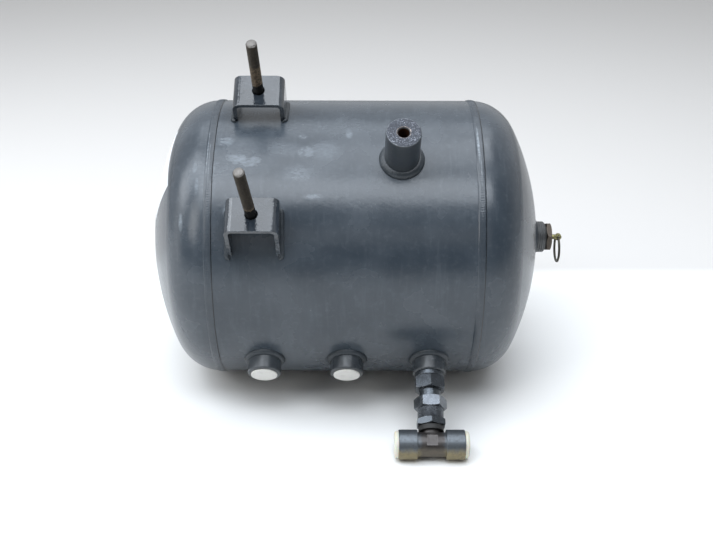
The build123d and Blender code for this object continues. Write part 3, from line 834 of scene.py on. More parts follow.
class Palette(Enum):
    """The finishes that need nothing but their own values."""

    WELD = TankPaint("weld_paint", (0.015, 0.020, 0.025), 0.34, peel=1.6, waves=0.0, gloss=0.4)
    BRACKET = TankPaint(
        "bracket_paint", (0.012, 0.017, 0.024), 0.09, peel=2.6, waves=3.0, edge=0.3, gloss=0.85
    )
    BOSS = TankPaint("boss_paint", (0.022, 0.026, 0.030), 0.24, peel=1.3, waves=0.0, edge=0.3)
    COATING = CoatedSteel("valve_coating", (0.060, 0.068, 0.078), 0.20, 0.75)
    PLUG = Moulding("plug_plastic", (0.66, 0.65, 0.62), 0.55)
    CAP = Moulding("cap_plastic", (0.64, 0.62, 0.53), 0.40, cover=0.2, glow=0.35)
    DRAIN = CoatedSteel("drain_steel", (0.060, 0.048, 0.038), 0.38, 0.6, bare=(0.26, 0.23, 0.17))
    BRASS = PlainMetal("drain_brass", (0.30, 0.28, 0.13), 0.34, 0.9, tarnish_and_shade=(0.07, 0.065, 0.03))
    SPRING = PlainMetal("spring_steel", (0.45, 0.45, 0.45), 0.28, 1.0, tarnish_and_shade=(0.2, 0.2, 0.2), cover=0.3)
    RUBBER = Rubber("seal_rubber", (0.012, 0.012, 0.012), 0.6)
    FLOOR = FloorPaper("floor_paper", (0.88, 0.88, 0.87), 0.6)

    def material(self) -> Material:
        """The Blender material of this finish."""
        return self.value.material()


# ---- Making pieces ----


def new_object(name: str, mesh: Mesh) -> Thing:
    """Links a new object with that mesh into the scene."""
    made = bpy.data.objects.new(name, mesh)
    bpy.context.scene.collection.objects.link(made)
    return made


def add_piece(
    thing: Thing, body: str, finish: Material | None = None, replaces: Iterable[str] = ()
) -> Thing:
    """Hands a finished object to the frame.

    Args:
        thing: The object, its place in its mesh.
        body: The body that it rides on.
        finish: Its material, where the mesh has none yet.
        replaces: The CAD nodes that it stands for.

    Returns:
        The same object.
    """
    if finish is not None:
        thing.data.materials.clear()
        thing.data.materials.append(finish)
    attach(thing, body)
    nodes = tuple(replaces)
    if nodes:
        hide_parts(*nodes)
    log.info("piece %s on %s, %d faces", thing.name, body, len(thing.data.polygons))
    return thing


def dress(node: str, finish: Material) -> None:
    """Gives a CAD node its material and leaves its mesh alone."""
    for slot in frame["nodes"][node].material_slots:
        slot.material = finish
    log.info("dressed %s", node)


def soften(node: str, width: float, segments: int = 2, sharp: float = 28.0) -> Mesh:
    """Copy of a CAD node's mesh with its sharp edges rounded.

    Args:
        node: The CAD node.
        width: How far the rounding reaches from an edge.
        segments: Steps across it.
        sharp: An edge is rounded where its faces meet at more than this, in degrees.

    Returns:
        The new mesh, smooth shaded, with normals that follow its larger faces.
    """
    mesh = frame["nodes"][node].data.copy()
    if mesh.attributes.get("custom_normal"):
        mesh.attributes.remove(mesh.attributes["custom_normal"])
    work = bmesh.new()
    work.from_mesh(mesh)
    bmesh.ops.remove_doubles(work, verts=work.verts, dist=2e-7)
    bmesh.ops.dissolve_limit(
        work, angle_limit=math.radians(0.2), verts=work.verts, edges=work.edges, use_dissolve_boundaries=False
    )
    limit = math.radians(sharp)
    edges = [e for e in work.edges if e.is_manifold and e.calc_face_angle(0.0) > limit]
    bmesh.ops.bevel(
        work,
        geom=edges,
        offset=width,
        offset_type="OFFSET",
        segments=segments,
        profile=0.5,
        affect="EDGES",
        clamp_overlap=True,
    )
    for face in work.faces:
        face.smooth = True
    work.to_mesh(mesh)
    work.free()
    return weighted(mesh)


def weighted(mesh: Mesh) -> Mesh:
    """Mesh whose normals lean towards its larger faces, so that flats stay flat beside rounded edges."""
    holder = new_object("holder", mesh)
    modifier = holder.modifiers.new("normals", "WEIGHTED_NORMAL")
    modifier.weight = 80
    return baked(holder)


def baked(holder: Thing) -> Mesh:
    """Mesh of an object with its modifiers applied; the object itself is removed."""
    graph = bpy.context.evaluated_depsgraph_get()
    mesh = bpy.data.meshes.new_from_object(holder.evaluated_get(graph))
    old = holder.data
    bpy.data.objects.remove(holder)
    bpy.data.meshes.remove(old)
    return mesh


def soft_piece(
    node: str, finish: Material, body: str = "vessel", width: float = 0.35 * MM, segments: int = 2
) -> Thing:
    """Replaces a CAD node by a copy of itself with rounded edges.

    Args:
        node: The CAD node.
        finish: Its material.
        body: The body that it rides on.
        width: How far the rounding reaches from an edge.
        segments: Steps across it.

    Returns:
        The new object.
    """
    made = new_object(f"{node}_finished", soften(node, width, segments))
    return add_piece(made, body, finish, [node])


def grown(name: str, base: Mesh, tree: Tree, values: Mapping[str, Any]) -> Mesh:
    """Runs a Geometry Nodes tree on a mesh.

    Args:
        name: Name of the result.
        base: The mesh that the tree starts from.
        tree: The tree.
        values: The tree's inputs by name.

    Returns:
        The result as a plain mesh.
    """
    holder = new_object(name, base)
    modifier = holder.modifiers.new("grow", "NODES")
    modifier.node_group = tree
    for item in tree.interface.items_tree:
        if item.item_type == "SOCKET" and item.in_out == "INPUT" and item.name in values:
            modifier[item.identifier] = values[item.name]
    bpy.context.view_layer.update()
    mesh = baked(holder)
    mesh.name = name
    return mesh


def path_mesh(points: Sequence[Vector], outward: Sequence[Vector], closed: bool) -> Mesh:
    """Line of points as a mesh, each with the direction that a bead on it faces.

    Args:
        points: The line.
        outward: One direction for each point.
        closed: Whether the last point joins the first.

    Returns:
        A mesh of edges with a vector attribute named outward.
    """
    mesh = bpy.data.meshes.new("path")
    count = len(points)
    edges = [(i, i + 1) for i in range(count - 1)] + ([(count - 1, 0)] if closed else [])
    mesh.from_pydata([tuple(p) for p in points], edges, [])
    attribute = mesh.attributes.new("outward", "FLOAT_VECTOR", "POINT")
    for row, direction in zip(attribute.data, outward):
        row.vector = direction
    return mesh


def joined_mesh(meshes: Sequence[Mesh]) -> Mesh:
    """One mesh from several, which are removed."""
    work = bmesh.new()
    for mesh in meshes:
        work.from_mesh(mesh)
    materials = list(meshes[0].materials)
    result = bpy.data.meshes.new(meshes[0].name)
    work.to_mesh(result)
    work.free()
    for material in materials:
        result.materials.append(material)
    for mesh in meshes:
        bpy.data.meshes.remove(mesh)
    return result


# ---- Geometry Nodes trees ----


def finished(graph: Graph, shape: Socket, finish: Socket, result: Inputs) -> Tree:
    """Ends a tree with smooth shading, real geometry and the material.

    Args:
        graph: The tree's graph.
        shape: The geometry made so far.
        finish: The material's socket.
        result: The tree's outputs.

    Returns:
        The tree.
    """
    smooth = graph.add("GeometryNodeSetShadeSmooth", {"Geometry": shape}).outputs[0]
    solid = graph.add("GeometryNodeRealizeInstances", {"Geometry": smooth}).outputs[0]
    done = graph.add("GeometryNodeSetMaterial", {"Geometry": solid, "Material": finish}).outputs[0]
    graph.feed(result["Geometry"], done)
    return graph.tree


@once
def bead_tree() -> Tree:
    """Weld bead along a path: an oval section whose face is rippled in crescents and wanders a little."""
    inputs = {
        "Geometry": ("Geometry", None),
        "Width": ("Float", 0.008),
        "Height": ("Float", 0.001),
        "Pitch": ("Float", 0.002),
        "Depth": ("Float", 0.0002),
        "Wander": ("Float", 0.1),
        "Spacing": ("Float", 0.0004),
        "Across": ("Int", 20),
        "Seed": ("Float", 0.0),
        "Material": ("Material", None),
    }
    graph, given, result = new_group("weld_bead", "GeometryNodeTree", inputs, {"Geometry": "Geometry"})
    line = graph.add("GeometryNodeMeshToCurve", {"Mesh": given["Geometry"]}).outputs[0]
    line = graph.add(
        "GeometryNodeResampleCurve", {"Curve": line, "Length": given["Spacing"]}, mode="LENGTH"
    ).outputs[0]
    facing = graph.named("outward", "FLOAT_VECTOR")
    line = graph.add("GeometryNodeSetCurveNormal", {"Curve": line, "Normal": facing}, mode="FREE").outputs[0]
    run = graph.add("GeometryNodeSplineParameter").outputs["Length"]
    kept_line = graph.stored(line, "run", run)
    circle = graph.add("GeometryNodeCurvePrimitiveCircle", {"Resolution": given["Across"], "Radius": 1.0})
    place = graph.add("GeometryNodeInputPosition").outputs[0]
    x, y, _ = graph.parts(place)
    kept_side = graph.stored(circle.outputs[0], "side", y)
    half_width = graph.times(given["Width"], 0.5)
    section_place = graph.joined(graph.times(x, given["Height"]), graph.times(y, half_width), 0.0)
    section = graph.add(
        "GeometryNodeSetPosition", {"Geometry": kept_side, "Position": section_place}
    ).outputs[0]
    run_noise = graph.joined(graph.over(run, 0.011), given["Seed"], 0.0)
    swell = graph.add("ShaderNodeTexNoise", {"Vector": run_noise, "Scale": 1.0, "Detail": 2.0}).outputs[0]
    scale = graph.minus(1.0, graph.times(swell, given["Wander"]))
    swept = graph.add(
        "GeometryNodeCurveToMesh",
        {"Curve": kept_line, "Profile Curve": section, "Scale": scale, "Fill Caps": True},
    ).outputs[0]
    along = graph.named("run", "FLOAT")
    side = graph.named("side", "FLOAT")
    bow = graph.times(graph.times(side, side), 1.1)
    jitter = graph.joined(graph.over(along, 0.004), given["Seed"], 3.0)
    uneven = graph.add("ShaderNodeTexNoise", {"Vector": jitter, "Scale": 1.0, "Detail": 1.0}).outputs[0]
    phase = graph.plus(graph.over(along, given["Pitch"]), graph.plus(bow, uneven))
    wave = graph.math("FRACT", phase)
    scallop = graph.minus(1.0, graph.math("POWER", wave, 1.7))
    sink = graph.times(graph.times(scallop, given["Depth"]), -1.0)
    normal = graph.add("GeometryNodeInputNormal").outputs[0]
    offset = graph.vector("MULTIPLY", normal, graph.joined(sink, sink, sink))
    rippled = graph.add("GeometryNodeSetPosition", {"Geometry": swept, "Offset": offset}).outputs[0]
    return finished(graph, rippled, given["Material"], result)


@once
def thread_tree() -> Tree:
    """Threaded rod standing on the origin along Z, with a chamfer at its end."""
    inputs = {
        "Geometry": ("Geometry", None),
        "Radius": ("Float", 0.005),
        "Length": ("Float", 0.07),
        "Pitch": ("Float", 0.0015),
        "Depth": ("Float", 0.0008),
        "Start": ("Float", 0.0),
        "Chamfer": ("Float", 0.001),
        "Around": ("Int", 36),
        "Rings": ("Int", 400),
        "Material": ("Material", None),
    }
    graph, given, result = new_group("threaded_rod", "GeometryNodeTree", inputs, {"Geometry": "Geometry"})
    bar = graph.add(
        "GeometryNodeMeshCylinder",
        {
            "Vertices": given["Around"],
            "Side Segments": given["Rings"],
            "Radius": 1.0,
            "Depth": given["Length"],
        },
        fill_type="TRIANGLE_FAN",
    ).outputs[0]
    x, y, z = graph.parts(graph.add("GeometryNodeInputPosition").outputs[0])
    rise = graph.plus(z, graph.times(given["Length"], 0.5))
    turn = graph.over(graph.math("ARCTAN2", y, x), 2 * math.pi)
    phase = graph.minus(graph.over(rise, given["Pitch"]), turn)
    ridge = graph.times(graph.math("PINGPONG", phase, 0.5), 2.0)
    groove = graph.step(ridge, 0.1, 0.85)
    begun = graph.math("GREATER_THAN", rise, given["Start"])
    cut = graph.times(graph.times(groove, begun), given["Depth"])
    reach = graph.minus(given["Radius"], cut)
    left = graph.minus(given["Length"], rise)
    end = graph.plus(graph.minus(given["Radius"], given["Chamfer"]), left)
    reach = graph.math("MINIMUM", reach, end)
    moved = graph.joined(graph.times(x, reach), graph.times(y, reach), rise)
    rod = graph.add("GeometryNodeSetPosition", {"Geometry": bar, "Position": moved}).outputs[0]
    return finished(graph, rod, given["Material"], result)


# ---- Sub-assemblies ----


@dataclass(frozen=True)
class BeadStyle:
    """A weld bead's section and ripple.

    Attributes:
        width: Size of its oval section along the surface.
        height: Half the section's size away from the surface.
        pitch: Distance between ripples.
        depth: Depth of a ripple.
        wander: Share by which the section shrinks here and there.
        spacing: Distance between sections.
        across: Corners of a section.
    """

    width: float
    height: float
    pitch: float = 2.3 * MM
    depth: float = 0.22 * MM
    wander: float = 0.1
    spacing: float = 0.4 * MM
    across: int = 20

    def lay(self, name: str, path: Mesh, seed: float, finish: Material) -> Mesh:
        """Bead along a path.

        Args:
            name: Name of the mesh.
            path: Line of points, from path_mesh.
            seed: Where the bead's unevenness is taken from.
            finish: Its material.

        Returns:
            The bead's mesh.
        """
        values = {
            "Width": self.width,
            "Height": self.height,
            "Pitch": self.pitch,
            "Depth": self.depth,
            "Wander": self.wander,
            "Spacing": self.spacing,
            "Across": self.across,
            "Seed": seed,
            "Material": finish,
        }
        return grown(name, path, bead_tree(), values)


@dataclass
class Vessel:
    """Shell, two heads and the welds that join them."""

    layout: Layout
    girth_style: BeadStyle = BeadStyle(8.4 * MM, 1.0 * MM, spacing=0.42 * MM)
    seam_style: BeadStyle = BeadStyle(7.0 * MM, 1.0 * MM, spacing=0.42 * MM)
    girth_seeds: tuple[float, float] = (0.0, 7.3)
    seam_seed: float = 36.5
    seam_turn: float = 40.0
    scuffs_and_highlights: tuple[ScuffAndHighlight, ...] = (
        ScuffAndHighlight(-110.7, -20.4, 9.0, 7.0, 0.45),
        ScuffAndHighlight(-99.0, -0.4, 14.0, 7.0, 0.50),
        ScuffAndHighlight(-88.7, 4.2, 10.0, 5.0, 0.45),
        ScuffAndHighlight(-82.5, 0.9, 7.0, 5.0, 0.40),
        # Painted highlights: these narrow upright marks on the left weld's edge and the left head stand for
        # reflections of the light to the left.
        ScuffAndHighlight(-121.1, 11.7, 2.5, 16.0, 0.35),
        ScuffAndHighlight(-134.5, 27.2, 2.5, 10.0, 0.40),
        ScuffAndHighlight(-137.0, 8.0, 3.0, 7.0, 0.30),
        ScuffAndHighlight(-149.0, 60.0, 2.2, 10.0, 0.50),
        ScuffAndHighlight(-36.3, -8.7, 10.0, 8.0, 0.40),
        ScuffAndHighlight(-18.3, -10.5, 18.0, 14.0, 0.20),
        ScuffAndHighlight(3.5, -32.2, 4.0, 8.0, 0.40),
        ScuffAndHighlight(-39.4, -28.1, 5.0, 4.0, 0.30),
        ScuffAndHighlight(-29.0, 37.6, 10.0, 3.5, 0.45),
        ScuffAndHighlight(-43.7, 15.5, 17.0, 11.0, 0.26),
        ScuffAndHighlight(-55.0, -12.0, 22.0, 10.0, 0.15),
        ScuffAndHighlight(-107.2, 50.9, 4.0, 6.0, 0.30),
        # Painted highlights: these broad faint patches lighten the upper left of the shell and the left head,
        # where the overhead light falls.
        ScuffAndHighlight(-105.0, -5.0, 45.0, 38.0, 0.11),
        ScuffAndHighlight(-130.0, 10.0, 16.0, 40.0, 0.10),
        ScuffAndHighlight(-40.0, -42.0, 130.0, 16.0, 0.10),
        ScuffAndHighlight(-20.0, 20.0, 60.0, 22.0, 0.05),
    )
    # Painted highlights: narrow bright streaks on the girth beads, where they reflect the light.
    painted_highlight_streaks: tuple[ScuffAndHighlight, ...] = (
        ScuffAndHighlight(123.0, -19.0, 1.4, 26.0, 0.85),
        ScuffAndHighlight(124.4, 12.0, 1.0, 22.0, 0.35),
        ScuffAndHighlight(-126.3, -8.0, 0.8, 30.0, 0.45),
        ScuffAndHighlight(-124.4, 2.0, 0.6, 26.0, 0.35),
    )

    def build(self) -> None:
        """Dresses the plates and lays the three beads."""
        paint = TankPaint("tank_paint", (0.030, 0.040, 0.052), 0.24, peel=1.7, scuffs_and_highlights=self.scuffs_and_highlights).material()
        for node in ("shell", "left_head", "right_head"):
            dress(node, paint)
        for side, seed in zip(("left", "right"), self.girth_seeds):
            self.girth_bead(side, seed)
        self.seam_bead()

    def ring(self, x: float, reach: float, count: int) -> Line:
        """Circle round the vessel's axis.

        Args:
            x: Its place along the vessel.
            reach: Its radius.
            count: Number of points.

        Returns:
            The points and their outward directions.
        """
        points, outward = [], []
        for direction in all_round(count):
            points.append(self.layout.on_axis(x) + direction * reach)
            outward.append(direction)
        return points, outward

    def girth_bead(self, side: str, seed: float) -> None:
        """Bead round one head's edge."""
        place = centre_of(f"{side}_girth_weld").x
        points, outward = self.ring(place, self.layout.radius, 360)
        seam = abs(place - self.layout.middle.x)
        colour = (0.028, 0.037, 0.048)
        # The girth paint carries the painted highlight streaks and the painted shadow line along each bead.
        finish = TankPaint("girth_paint", colour, 0.22, waves=0.0, seam=seam, scuffs_and_highlights=self.painted_highlight_streaks)
        path = path_mesh(points, outward, True)
        mesh = self.girth_style.lay(f"{side}_girth_bead", path, seed, finish.material())
        add_piece(new_object(mesh.name, mesh), "vessel", None, [f"{side}_girth_weld"])

    def seam_bead(self) -> None:
        """Bead along the shell's own seam, from girth weld to girth weld."""
        back = -self.layout.port
        turn = Matrix.Rotation(math.radians(-self.seam_turn), 3, AHEAD)
        direction = turn @ back
        low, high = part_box("lengthwise_weld")
        start, end = low.x, high.x
        base = self.layout.on_axis(0) + direction * self.layout.radius
        points = [base + Vector((start + (end - start) * i / 60, 0, 0)) for i in range(61)]
        path = path_mesh(points, [direction] * 61, False)
        mesh = self.seam_style.lay("seam_bead", path, self.seam_seed, Palette.WELD.material())
        add_piece(new_object(mesh.name, mesh), "vessel", None, ["lengthwise_weld"])


@dataclass
class Bosses:
    """Port bosses, support boss and drain boss, each with the bead that holds it.

    Attributes:
        layout: Places on the vessel.
        port_radius: Radius of a port boss.
        port_leg: Leg of its fillet weld.
        support_radius: Radius of the support boss.
        support_leg: Leg of its weld.
        drain_radius: Radius of the drain boss.
        drain_leg: Leg of its weld.
        crown_radius: Radius of the dome round the drain boss.
        shift: Share of its leg by which a bead's line moves into the corner.
        steps: Points on a bead's line.
    """

    layout: Layout
    port_radius: float = 16 * MM
    port_leg: float = 4.0 * MM
    support_radius: float = 16 * MM
    support_leg: float = 5.5 * MM
    drain_radius: float = 15.8 * MM
    drain_leg: float = 4.0 * MM
    crown_radius: float = 250 * MM
    shift: float = 0.12
    steps: int = 72

    def build(self) -> None:
        """Makes the bosses and their beads."""
        for side in ("left", "middle", "right"):
            soft_piece(f"{side}_port_boss", Palette.BOSS.material(), width=0.25 * MM)
            x = centre_of(f"{side}_port_boss").x
            line = self.saddle(x, self.layout.port, self.port_radius, self.port_leg)
            self.bead(f"{side}_port", line, self.port_leg, f"{side}_port_weld")
        self.support()
        self.drain()

    def support(self) -> None:
        """The tall tapped boss, its end face sawn and bare round the hole."""
        face, axis = self.layout.mount_place("support_boss_face")
        hole = self.layout.mount_place("support_boss")[0]
        height = (face - hole).dot(axis)
        origin = hole + axis * height
        colour = (0.036, 0.042, 0.048)
        finish = BossFace("support_boss_paint", colour, 0.30, origin=tuple(origin), axis=tuple(axis))
        soft_piece("support_boss", finish.material(), width=0.3 * MM)
        line = self.saddle(hole.x, axis, self.support_radius, self.support_leg)
        self.bead("support", line, self.support_leg, "support_weld")

    def drain(self) -> None:
        """The boss on the right head and the bead round it on the dome."""
        low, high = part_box("drain_boss")
        grooves = (low.x, high.x - 1.2 * MM)
        colour = (0.075, 0.078, 0.080)
        finish = CoatedSteel(
            "drain_boss_paint", colour, 0.34, 0.1, axis=tuple(AHEAD), turned=grooves, pitch=2.1 * MM
        )
        soft_piece("drain_boss", finish.material(), width=0.25 * MM)
        low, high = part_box("right_head")
        top, crown = high.x, self.crown_radius
        reach = self.drain_radius + self.drain_leg * self.shift
        sink = crown - math.sqrt(crown**2 - reach**2)
        points, outward = [], []
        centre = self.layout.on_axis(top - sink + self.drain_leg * self.shift)
        for radial in all_round(self.steps):
            points.append(centre + radial * reach)
            outward.append((radial + AHEAD).normalized())
        self.bead("drain", (points, outward), self.drain_leg, "drain_weld")

    def saddle(self, x: float, direction: Vector, radius: float, leg: float) -> Line:
        """Line where a round boss meets the shell, moved a little into the corner's fillet.

        Args:
            x: The boss's place along the vessel.
            direction: Where it points.
            radius: Its radius.
            leg: The weld's leg.

        Returns:
            The line's points and the directions that its bead faces.
        """
        matrix = self.layout.across(x, direction)
        spin = matrix.to_3x3()
        reach = radius + leg * self.shift
        points, outward = [], []
        for index in range(self.steps):
            turn = 2 * math.pi * index / self.steps
            along, side = reach * math.cos(turn), reach * math.sin(turn)
            height = math.sqrt(self.layout.radius**2 - side**2)
            normal = Vector((0, side, height)).normalized()
            radial = Vector((math.cos(turn), math.sin(turn), 0))
            points.append(matrix @ (Vector((along, side, height)) + normal * leg * self.shift))
            outward.append(spin @ (normal + radial).normalized())
        return points, outward

    def bead(self, name: str, line: Line, leg: float, node: str) -> None:
        """Adds a rounded fillet bead.

        Args:
            name: The boss's name.
            line: Closed line and the directions that the bead faces.
            leg: The fillet's leg.
            node: The CAD weld that the bead stands for.
        """
        style = BeadStyle(leg * 1.95, leg * 0.82, wander=0.14, across=28)
        path = path_mesh(*line, True)
        mesh = style.lay(f"{name}_bead", path, float(len(name)), Palette.WELD.material())
        add_piece(new_object(mesh.name, mesh), "vessel", None, [node])


@dataclass
class Bracket:
    """One folded bracket, its foot beads and its threaded stud."""

    layout: Layout
    name: str
    offset: float
    dirt_top: float
    width: float = 48 * MM
    length: float = 35 * MM
    foot_bead: float = 3.4 * MM
    stud_radius: float = 5 * MM
    stud_pitch: float = 1.5 * MM
    stud_depth: float = 0.8 * MM
    sheet: float = 4 * MM
    head_flats: float = 16 * MM
    head_height: float = 6.4 * MM
    stud_total: float = 70 * MM
    tip_margin: float = 1.195 * MM

    def build(self) -> None:
        """Makes the bracket, its beads and its stud."""
        node = f"{self.name}_bracket"
        soft_piece(node, Palette.BRACKET.material(), width=0.7 * MM, segments=3)
        self.foot_beads()
        self.stud()

    def foot_beads(self) -> None:
        """A bead outside each foot, wrapped round the foot's two ends."""
        x = centre_of(f"{self.name}_bracket").x
        matrix = self.layout.across(x, self.layout.up)
        meshes = [self.foot_bead_mesh(matrix, side) for side in (-1, 1)]
        mesh = joined_mesh(meshes)
        made = new_object(f"{self.name}_foot_beads", mesh)
        add_piece(made, "vessel", Palette.WELD.material(), [f"{self.name}_foot_welds"])

    def foot_bead_mesh(self, matrix: Matrix, side: int) -> Mesh:
        """One foot's bead, from inside the front end, along the outside, to inside the back end.

        Args:
            matrix: The bracket's local frame on the vessel's axis.
            side: -1 for the foot on the left, 1 for the one on the right.

        Returns:
            The bead's mesh.
        """
        face = self.width / 2 + 0.4 * MM
        inside = self.width / 2 - self.sheet * 0.6
        end = self.length / 2 + 0.3 * MM
        corners = [(inside, -end), (face - 0.8 * MM, -end), (face, -end + 1.2 * MM)]
        corners += [(face, -end + 1.2 * MM + (2 * end - 2.4 * MM) * i / 24) for i in range(1, 25)]
        corners += [(face - 0.8 * MM, end), (inside, end)]
        points, outward = [], []
        for along, across in corners:
            lateral = self.offset + across
            height = math.sqrt(self.layout.radius**2 - lateral**2)
            normal = Vector((0, lateral, height)).normalized()
            points.append(matrix @ (Vector((side * along, lateral, height)) + normal * 0.3 * MM))
            lean = (normal + Vector((side * 0.7, 0, 0))).normalized()
            outward.append(matrix.to_3x3() @ lean)
        style = BeadStyle(self.foot_bead * 2.0, self.foot_bead, 2.6 * MM, 0.3 * MM, wander=0.3, across=24)
        path = path_mesh(points, outward, False)
        seed = self.offset * 100 + side
        return style.lay(f"{self.name}_bead_{side + 1}", path, seed, Palette.WELD.material())

    def stud(self) -> None:
        """Threaded stud with its hexagon head under the web."""
        middle, axis = self.layout.mount_place(f"{self.name}_stud")
        half = self.layout.mounts[f"{self.name}_stud"]["dims"]["length_mm"] * MM / 2
        tip = middle + axis * (half + self.tip_margin)
        root = tip - axis * self.stud_total
        web = root + axis * self.sheet
        finish = StudSteel(
            f"{self.name}_stud_steel",
            (0.045, 0.041, 0.036),
            0.40,
            0.55,
            origin=tuple(web),
            axis=tuple(axis),
            dirt_top=self.dirt_top,
        )
        values = {
            "Radius": self.stud_radius,
            "Length": self.stud_total,
            "Pitch": self.stud_pitch,
            "Depth": self.stud_depth,
            "Start": self.sheet + 1.5 * MM,
            "Chamfer": 1.2 * MM,
            "Around": 40,
            "Rings": 460,
            "Material": finish.material(),
        }
        rod = grown(f"{self.name}_stud_rod", bpy.data.meshes.new("base"), thread_tree(), values)
        mesh = joined_mesh([rod, self.head()])
        ahead = (AHEAD - axis * axis.x).normalized()
        mesh.transform(frame_matrix(root, ahead, axis.cross(ahead), axis))
        made = new_object(f"{self.name}_stud_threaded", mesh)
        add_piece(made, "vessel", finish.material(), [f"{self.name}_stud"])

    def head(self) -> Mesh:
        """Hexagon head from its underside up to the web, its corners and edges eased."""
        work = bmesh.new()
        corner = self.head_flats / math.sqrt(3)
        turns = [math.radians(30 + 60 * i) for i in range(6)]
        rims = [
            [work.verts.new((corner * math.cos(t), corner * math.sin(t), z)) for t in turns]
            for z in (-self.head_height, 0.0)
        ]
        for i in range(6):
            j = (i + 1) % 6
            work.faces.new((rims[0][i], rims[0][j], rims[1][j], rims[1][i]))
        work.faces.new(rims[1])
        work.faces.new(rims[0][::-1])
        bmesh.ops.bevel(work, geom=list(work.edges), offset=0.6 * MM, segments=2, profile=0.5, affect="EDGES")
        mesh = bpy.data.meshes.new("head")
        work.to_mesh(mesh)
        work.free()
        return mesh


@dataclass
class DrainValve:
    """Drain valve on the right head: body, seals, spring, stem and pull ring."""

    finishes: Mapping[str, Palette] = field(
        default_factory=lambda: {
            "drain_seat_seal": Palette.RUBBER,
            "drain_spring_retainer": Palette.SPRING,
            "drain_spring": Palette.SPRING,
        }
    )

    def build(self) -> None:
        """Dresses the inner pieces and finishes the outer ones."""
        for node, finish in self.finishes.items():
            dress(node, finish.material())
        soft_piece("drain_gasket", Palette.RUBBER.material(), width=0.2 * MM)
        soft_piece("drain_valve_body", Palette.DRAIN.material(), width=0.3 * MM)
        soft_piece("drain_pin", Palette.BRASS.material(), "drain_pin", width=0.2 * MM)
        low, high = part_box("drain_ring")
        extent = high - low
        thin = min(range(3), key=lambda index: extent[index])
        axis = tuple(float(index == thin) for index in range(3))
        split = tuple((low + high) / 2)
        # Dark colour for the ring's tarnishing and for the painted shade line between its two turns.
        stain_and_shade = (0.02, 0.018, 0.014)
        wire = PlainMetal("ring_wire", (0.15, 0.14, 0.11), 0.30, 0.9, tarnish_and_shade=stain_and_shade, split=split, axis=axis)
        dress("drain_ring", wire.material())


@dataclass
class NonReturnValve:
    """Non-return valve and push-in connector, screwed into the right port."""

    layout: Layout
    barrel: tuple[float, float] = (190.2 * MM, 200.6 * MM)

    def build(self) -> None:
        """Dresses the inner pieces and finishes the outer ones."""
        dress("port_o_ring", Palette.RUBBER.material())
        dress("valve_seat_seal", Palette.RUBBER.material())
        dress("valve_spring_guide", Palette.BRASS.material())
        dress("valve_poppet", Palette.BRASS.material())
        dress("valve_spring", Palette.SPRING.material())
        dress("grab_ring", Palette.SPRING.material())
        coating = Palette.COATING.material()
        for node in ("port_seal_ring", "valve_inlet_body", "connector_nut"):
            soft_piece(node, coating, width=0.35 * MM)
        origin = tuple(self.layout.on_axis(centre_of("valve_outlet_body").x))
        axis = tuple(self.layout.port)
        threaded = CoatedSteel(
            "barrel_coating", (0.11, 0.12, 0.135), 0.18, 0.8, origin=origin, axis=axis, turned=self.barrel
        )
        soft_piece("valve_outlet_body", threaded.material(), width=0.35 * MM)
        soft_piece("dust_ring", Palette.RUBBER.material(), width=0.4 * MM)


@dataclass
class Tee:
    """Swivelling tee with its seal and the caps in its arms."""

    layout: Layout

    def build(self) -> None:
        """Finishes the tee and its caps."""
        left, right = (self.layout.mount_place(f"tee_{side}_arm")[0] for side in ("left", "right"))
        centre = (left + right) / 2
        level = centre.z + 2.5 * MM
        finish = TeeZinc("tee_zinc", (0.115, 0.13, 0.145), 0.40, 0.7, level=level, centre=centre.x)
        soft_piece("tee_body", finish.material(), "tee", width=0.35 * MM)
        dress("spigot_o_ring", Palette.RUBBER.material())
        plastic = Palette.CAP.material()
        for side in ("left", "right"):
            soft_piece(f"{side}_tee_cap", plastic, f"{side}_cap", width=0.3 * MM)


@dataclass
class PortPlugs:
    """Moulded plugs in the two spare ports."""

    def build(self) -> None:
        """Finishes both plugs."""
        plastic = Palette.PLUG.material()
        for side in ("left", "middle"):
            soft_piece(f"{side}_port_plug", plastic, f"{side}_plug", width=0.2 * MM)


@dataclass
class TypeLabel:
    """Blank ruled label on the left head."""

    layout: Layout
    along: float = 18.8 * MM
    up: float = 82.8 * MM
    turn: float = -8.0

    def build(self) -> None:
        """Dresses the label with lines on its own axes."""
        right = -self.layout.port
        spin = math.radians(self.turn)
        across = right * math.cos(spin) + self.layout.up * math.sin(spin)
        down = self.layout.up * math.cos(spin) - right * math.sin(spin)
        middle = self.layout.middle + right * self.along + self.layout.up * self.up
        rows = tuple((*axis, -axis.dot(middle)) for axis in (across, down))
        finish = LabelFilm("label_film", (0.80, 0.82, 0.84), 0.38, matrix=rows)
        dress("type_label", finish.material())


@dataclass(frozen=True)
class Panel:
    """A rectangular light: where it hangs, its two sides, its radiance and its colour."""

    name: str
    place: Triple
    size: tuple[float, float]
    brightness: float
    tint: Colour = (0.93, 0.99, 1.06)


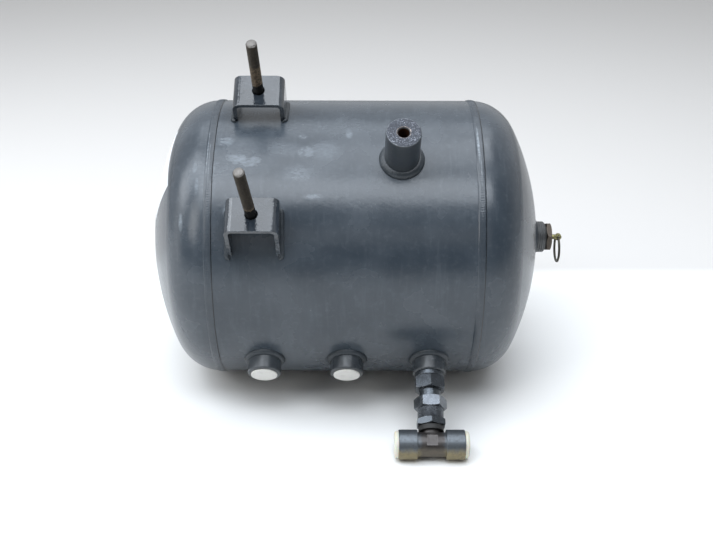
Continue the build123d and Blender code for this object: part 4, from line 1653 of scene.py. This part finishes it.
@dataclass
class Studio:
    """Pale floor, soft lights and the camera."""

    layout: Layout
    eye: Triple = (-0.0059, -0.9453, 0.6054)
    pitch: float = 27.264
    yaw: float = -0.016
    roll: float = -0.2
    lens: float = 52.95
    sensor: float = 36.0
    floor_size: float = 14.0
    panels: tuple[Panel, ...] = (
        Panel("ceiling_back", (0.0, 0.75, 1.60), (1.8, 0.7), 1.6),
        Panel("ceiling_middle", (0.0, 0.0, 1.75), (1.8, 0.7), 3.3),
        Panel("ceiling_front", (0.0, -0.75, 1.60), (1.8, 0.6), 5.6),
        Panel("ceiling_left", (-1.25, -0.1, 1.35), (0.7, 1.4), 4.0),
        Panel("left", (-1.6, -0.2, 0.6), (0.7, 1.4), 1.2, (1.0, 0.985, 0.96)),
        Panel("left_front", (-1.2, -1.2, 1.1), (0.6, 0.9), 3.8, (1.0, 0.985, 0.96)),
        Panel("front", (0.1, -1.7, 1.0), (1.6, 0.5), 0.6, (1.0, 0.985, 0.96)),
    )

    def build(self) -> None:
        """Sets the stage."""
        self.floor()
        self.world()
        self.lights()
        self.camera()
        bpy.context.scene.view_settings.view_transform = "Standard"

    def floor(self) -> None:
        """Large pale sheet under everything."""
        work = bmesh.new()
        bmesh.ops.create_grid(work, x_segments=8, y_segments=8, size=self.floor_size / 2)
        mesh = bpy.data.meshes.new("floor")
        work.to_mesh(mesh)
        work.free()
        mesh.materials.append(Palette.FLOOR.material())
        new_object("floor", mesh)

    def world(self) -> None:
        """Even pale room, darker towards the viewer's side."""
        world = bpy.data.worlds.new("studio")
        bpy.context.scene.world = world
        world.use_nodes = True
        graph = Graph(world.node_tree)
        direction = graph.add("ShaderNodeTexCoord").outputs["Generated"]
        _, back, up = graph.parts(direction)
        behind = graph.step(back, -0.6, 0.5)
        colour = graph.mix(behind, (0.03, 0.031, 0.033), (0.70, 0.71, 0.72))
        backdrop = world.node_tree.nodes["Background"]
        graph.feed(backdrop.inputs["Color"], colour)
        backdrop.inputs["Strength"].default_value = 1.0

    def lights(self) -> None:
        """Hangs the panels, each facing the vessel."""
        for panel in self.panels:
            lamp = bpy.data.lights.new(panel.name, "AREA")
            lamp.shape = "RECTANGLE"
            lamp.size, lamp.size_y = panel.size
            lamp.energy = math.pi * panel.size[0] * panel.size[1] * panel.brightness
            lamp.color = panel.tint
            made = bpy.data.objects.new(panel.name, lamp)
            bpy.context.scene.collection.objects.link(made)
            made.location = panel.place
            aim = self.layout.middle - Vector(panel.place)
            made.rotation_euler = aim.to_track_quat("-Z", "Y").to_euler()

    def camera(self) -> None:
        """Camera above the front of the vessel, looking down along +Y."""
        data = bpy.data.cameras.new("camera")
        data.lens, data.sensor_width, data.sensor_fit = self.lens, self.sensor, "HORIZONTAL"
        data.clip_start, data.clip_end = 0.05, 60.0
        made = bpy.data.objects.new("camera", data)
        bpy.context.scene.collection.objects.link(made)
        made.location = self.eye
        made.rotation_euler = tuple(math.radians(a) for a in (90 - self.pitch, self.roll, self.yaw))
        bpy.context.scene.camera = made


def main() -> None:
    """Builds every sub-assembly in order, then the studio."""
    logging.basicConfig(level=logging.INFO, format="%(name)s: %(message)s")
    layout = Layout.read()
    spread = 68 * MM
    assemblies = [
        Vessel(layout),
        Bosses(layout),
        Bracket(layout, "upper", spread, dirt_top=36 * MM),
        Bracket(layout, "lower", -spread, dirt_top=14 * MM),
        DrainValve(),
        NonReturnValve(layout),
        Tee(layout),
        PortPlugs(),
        TypeLabel(layout),
        Studio(layout),
    ]
    for assembly in assemblies:
        log.info("building %s", type(assembly).__name__)
        assembly.build()


if __name__ == "__main__":
    main()
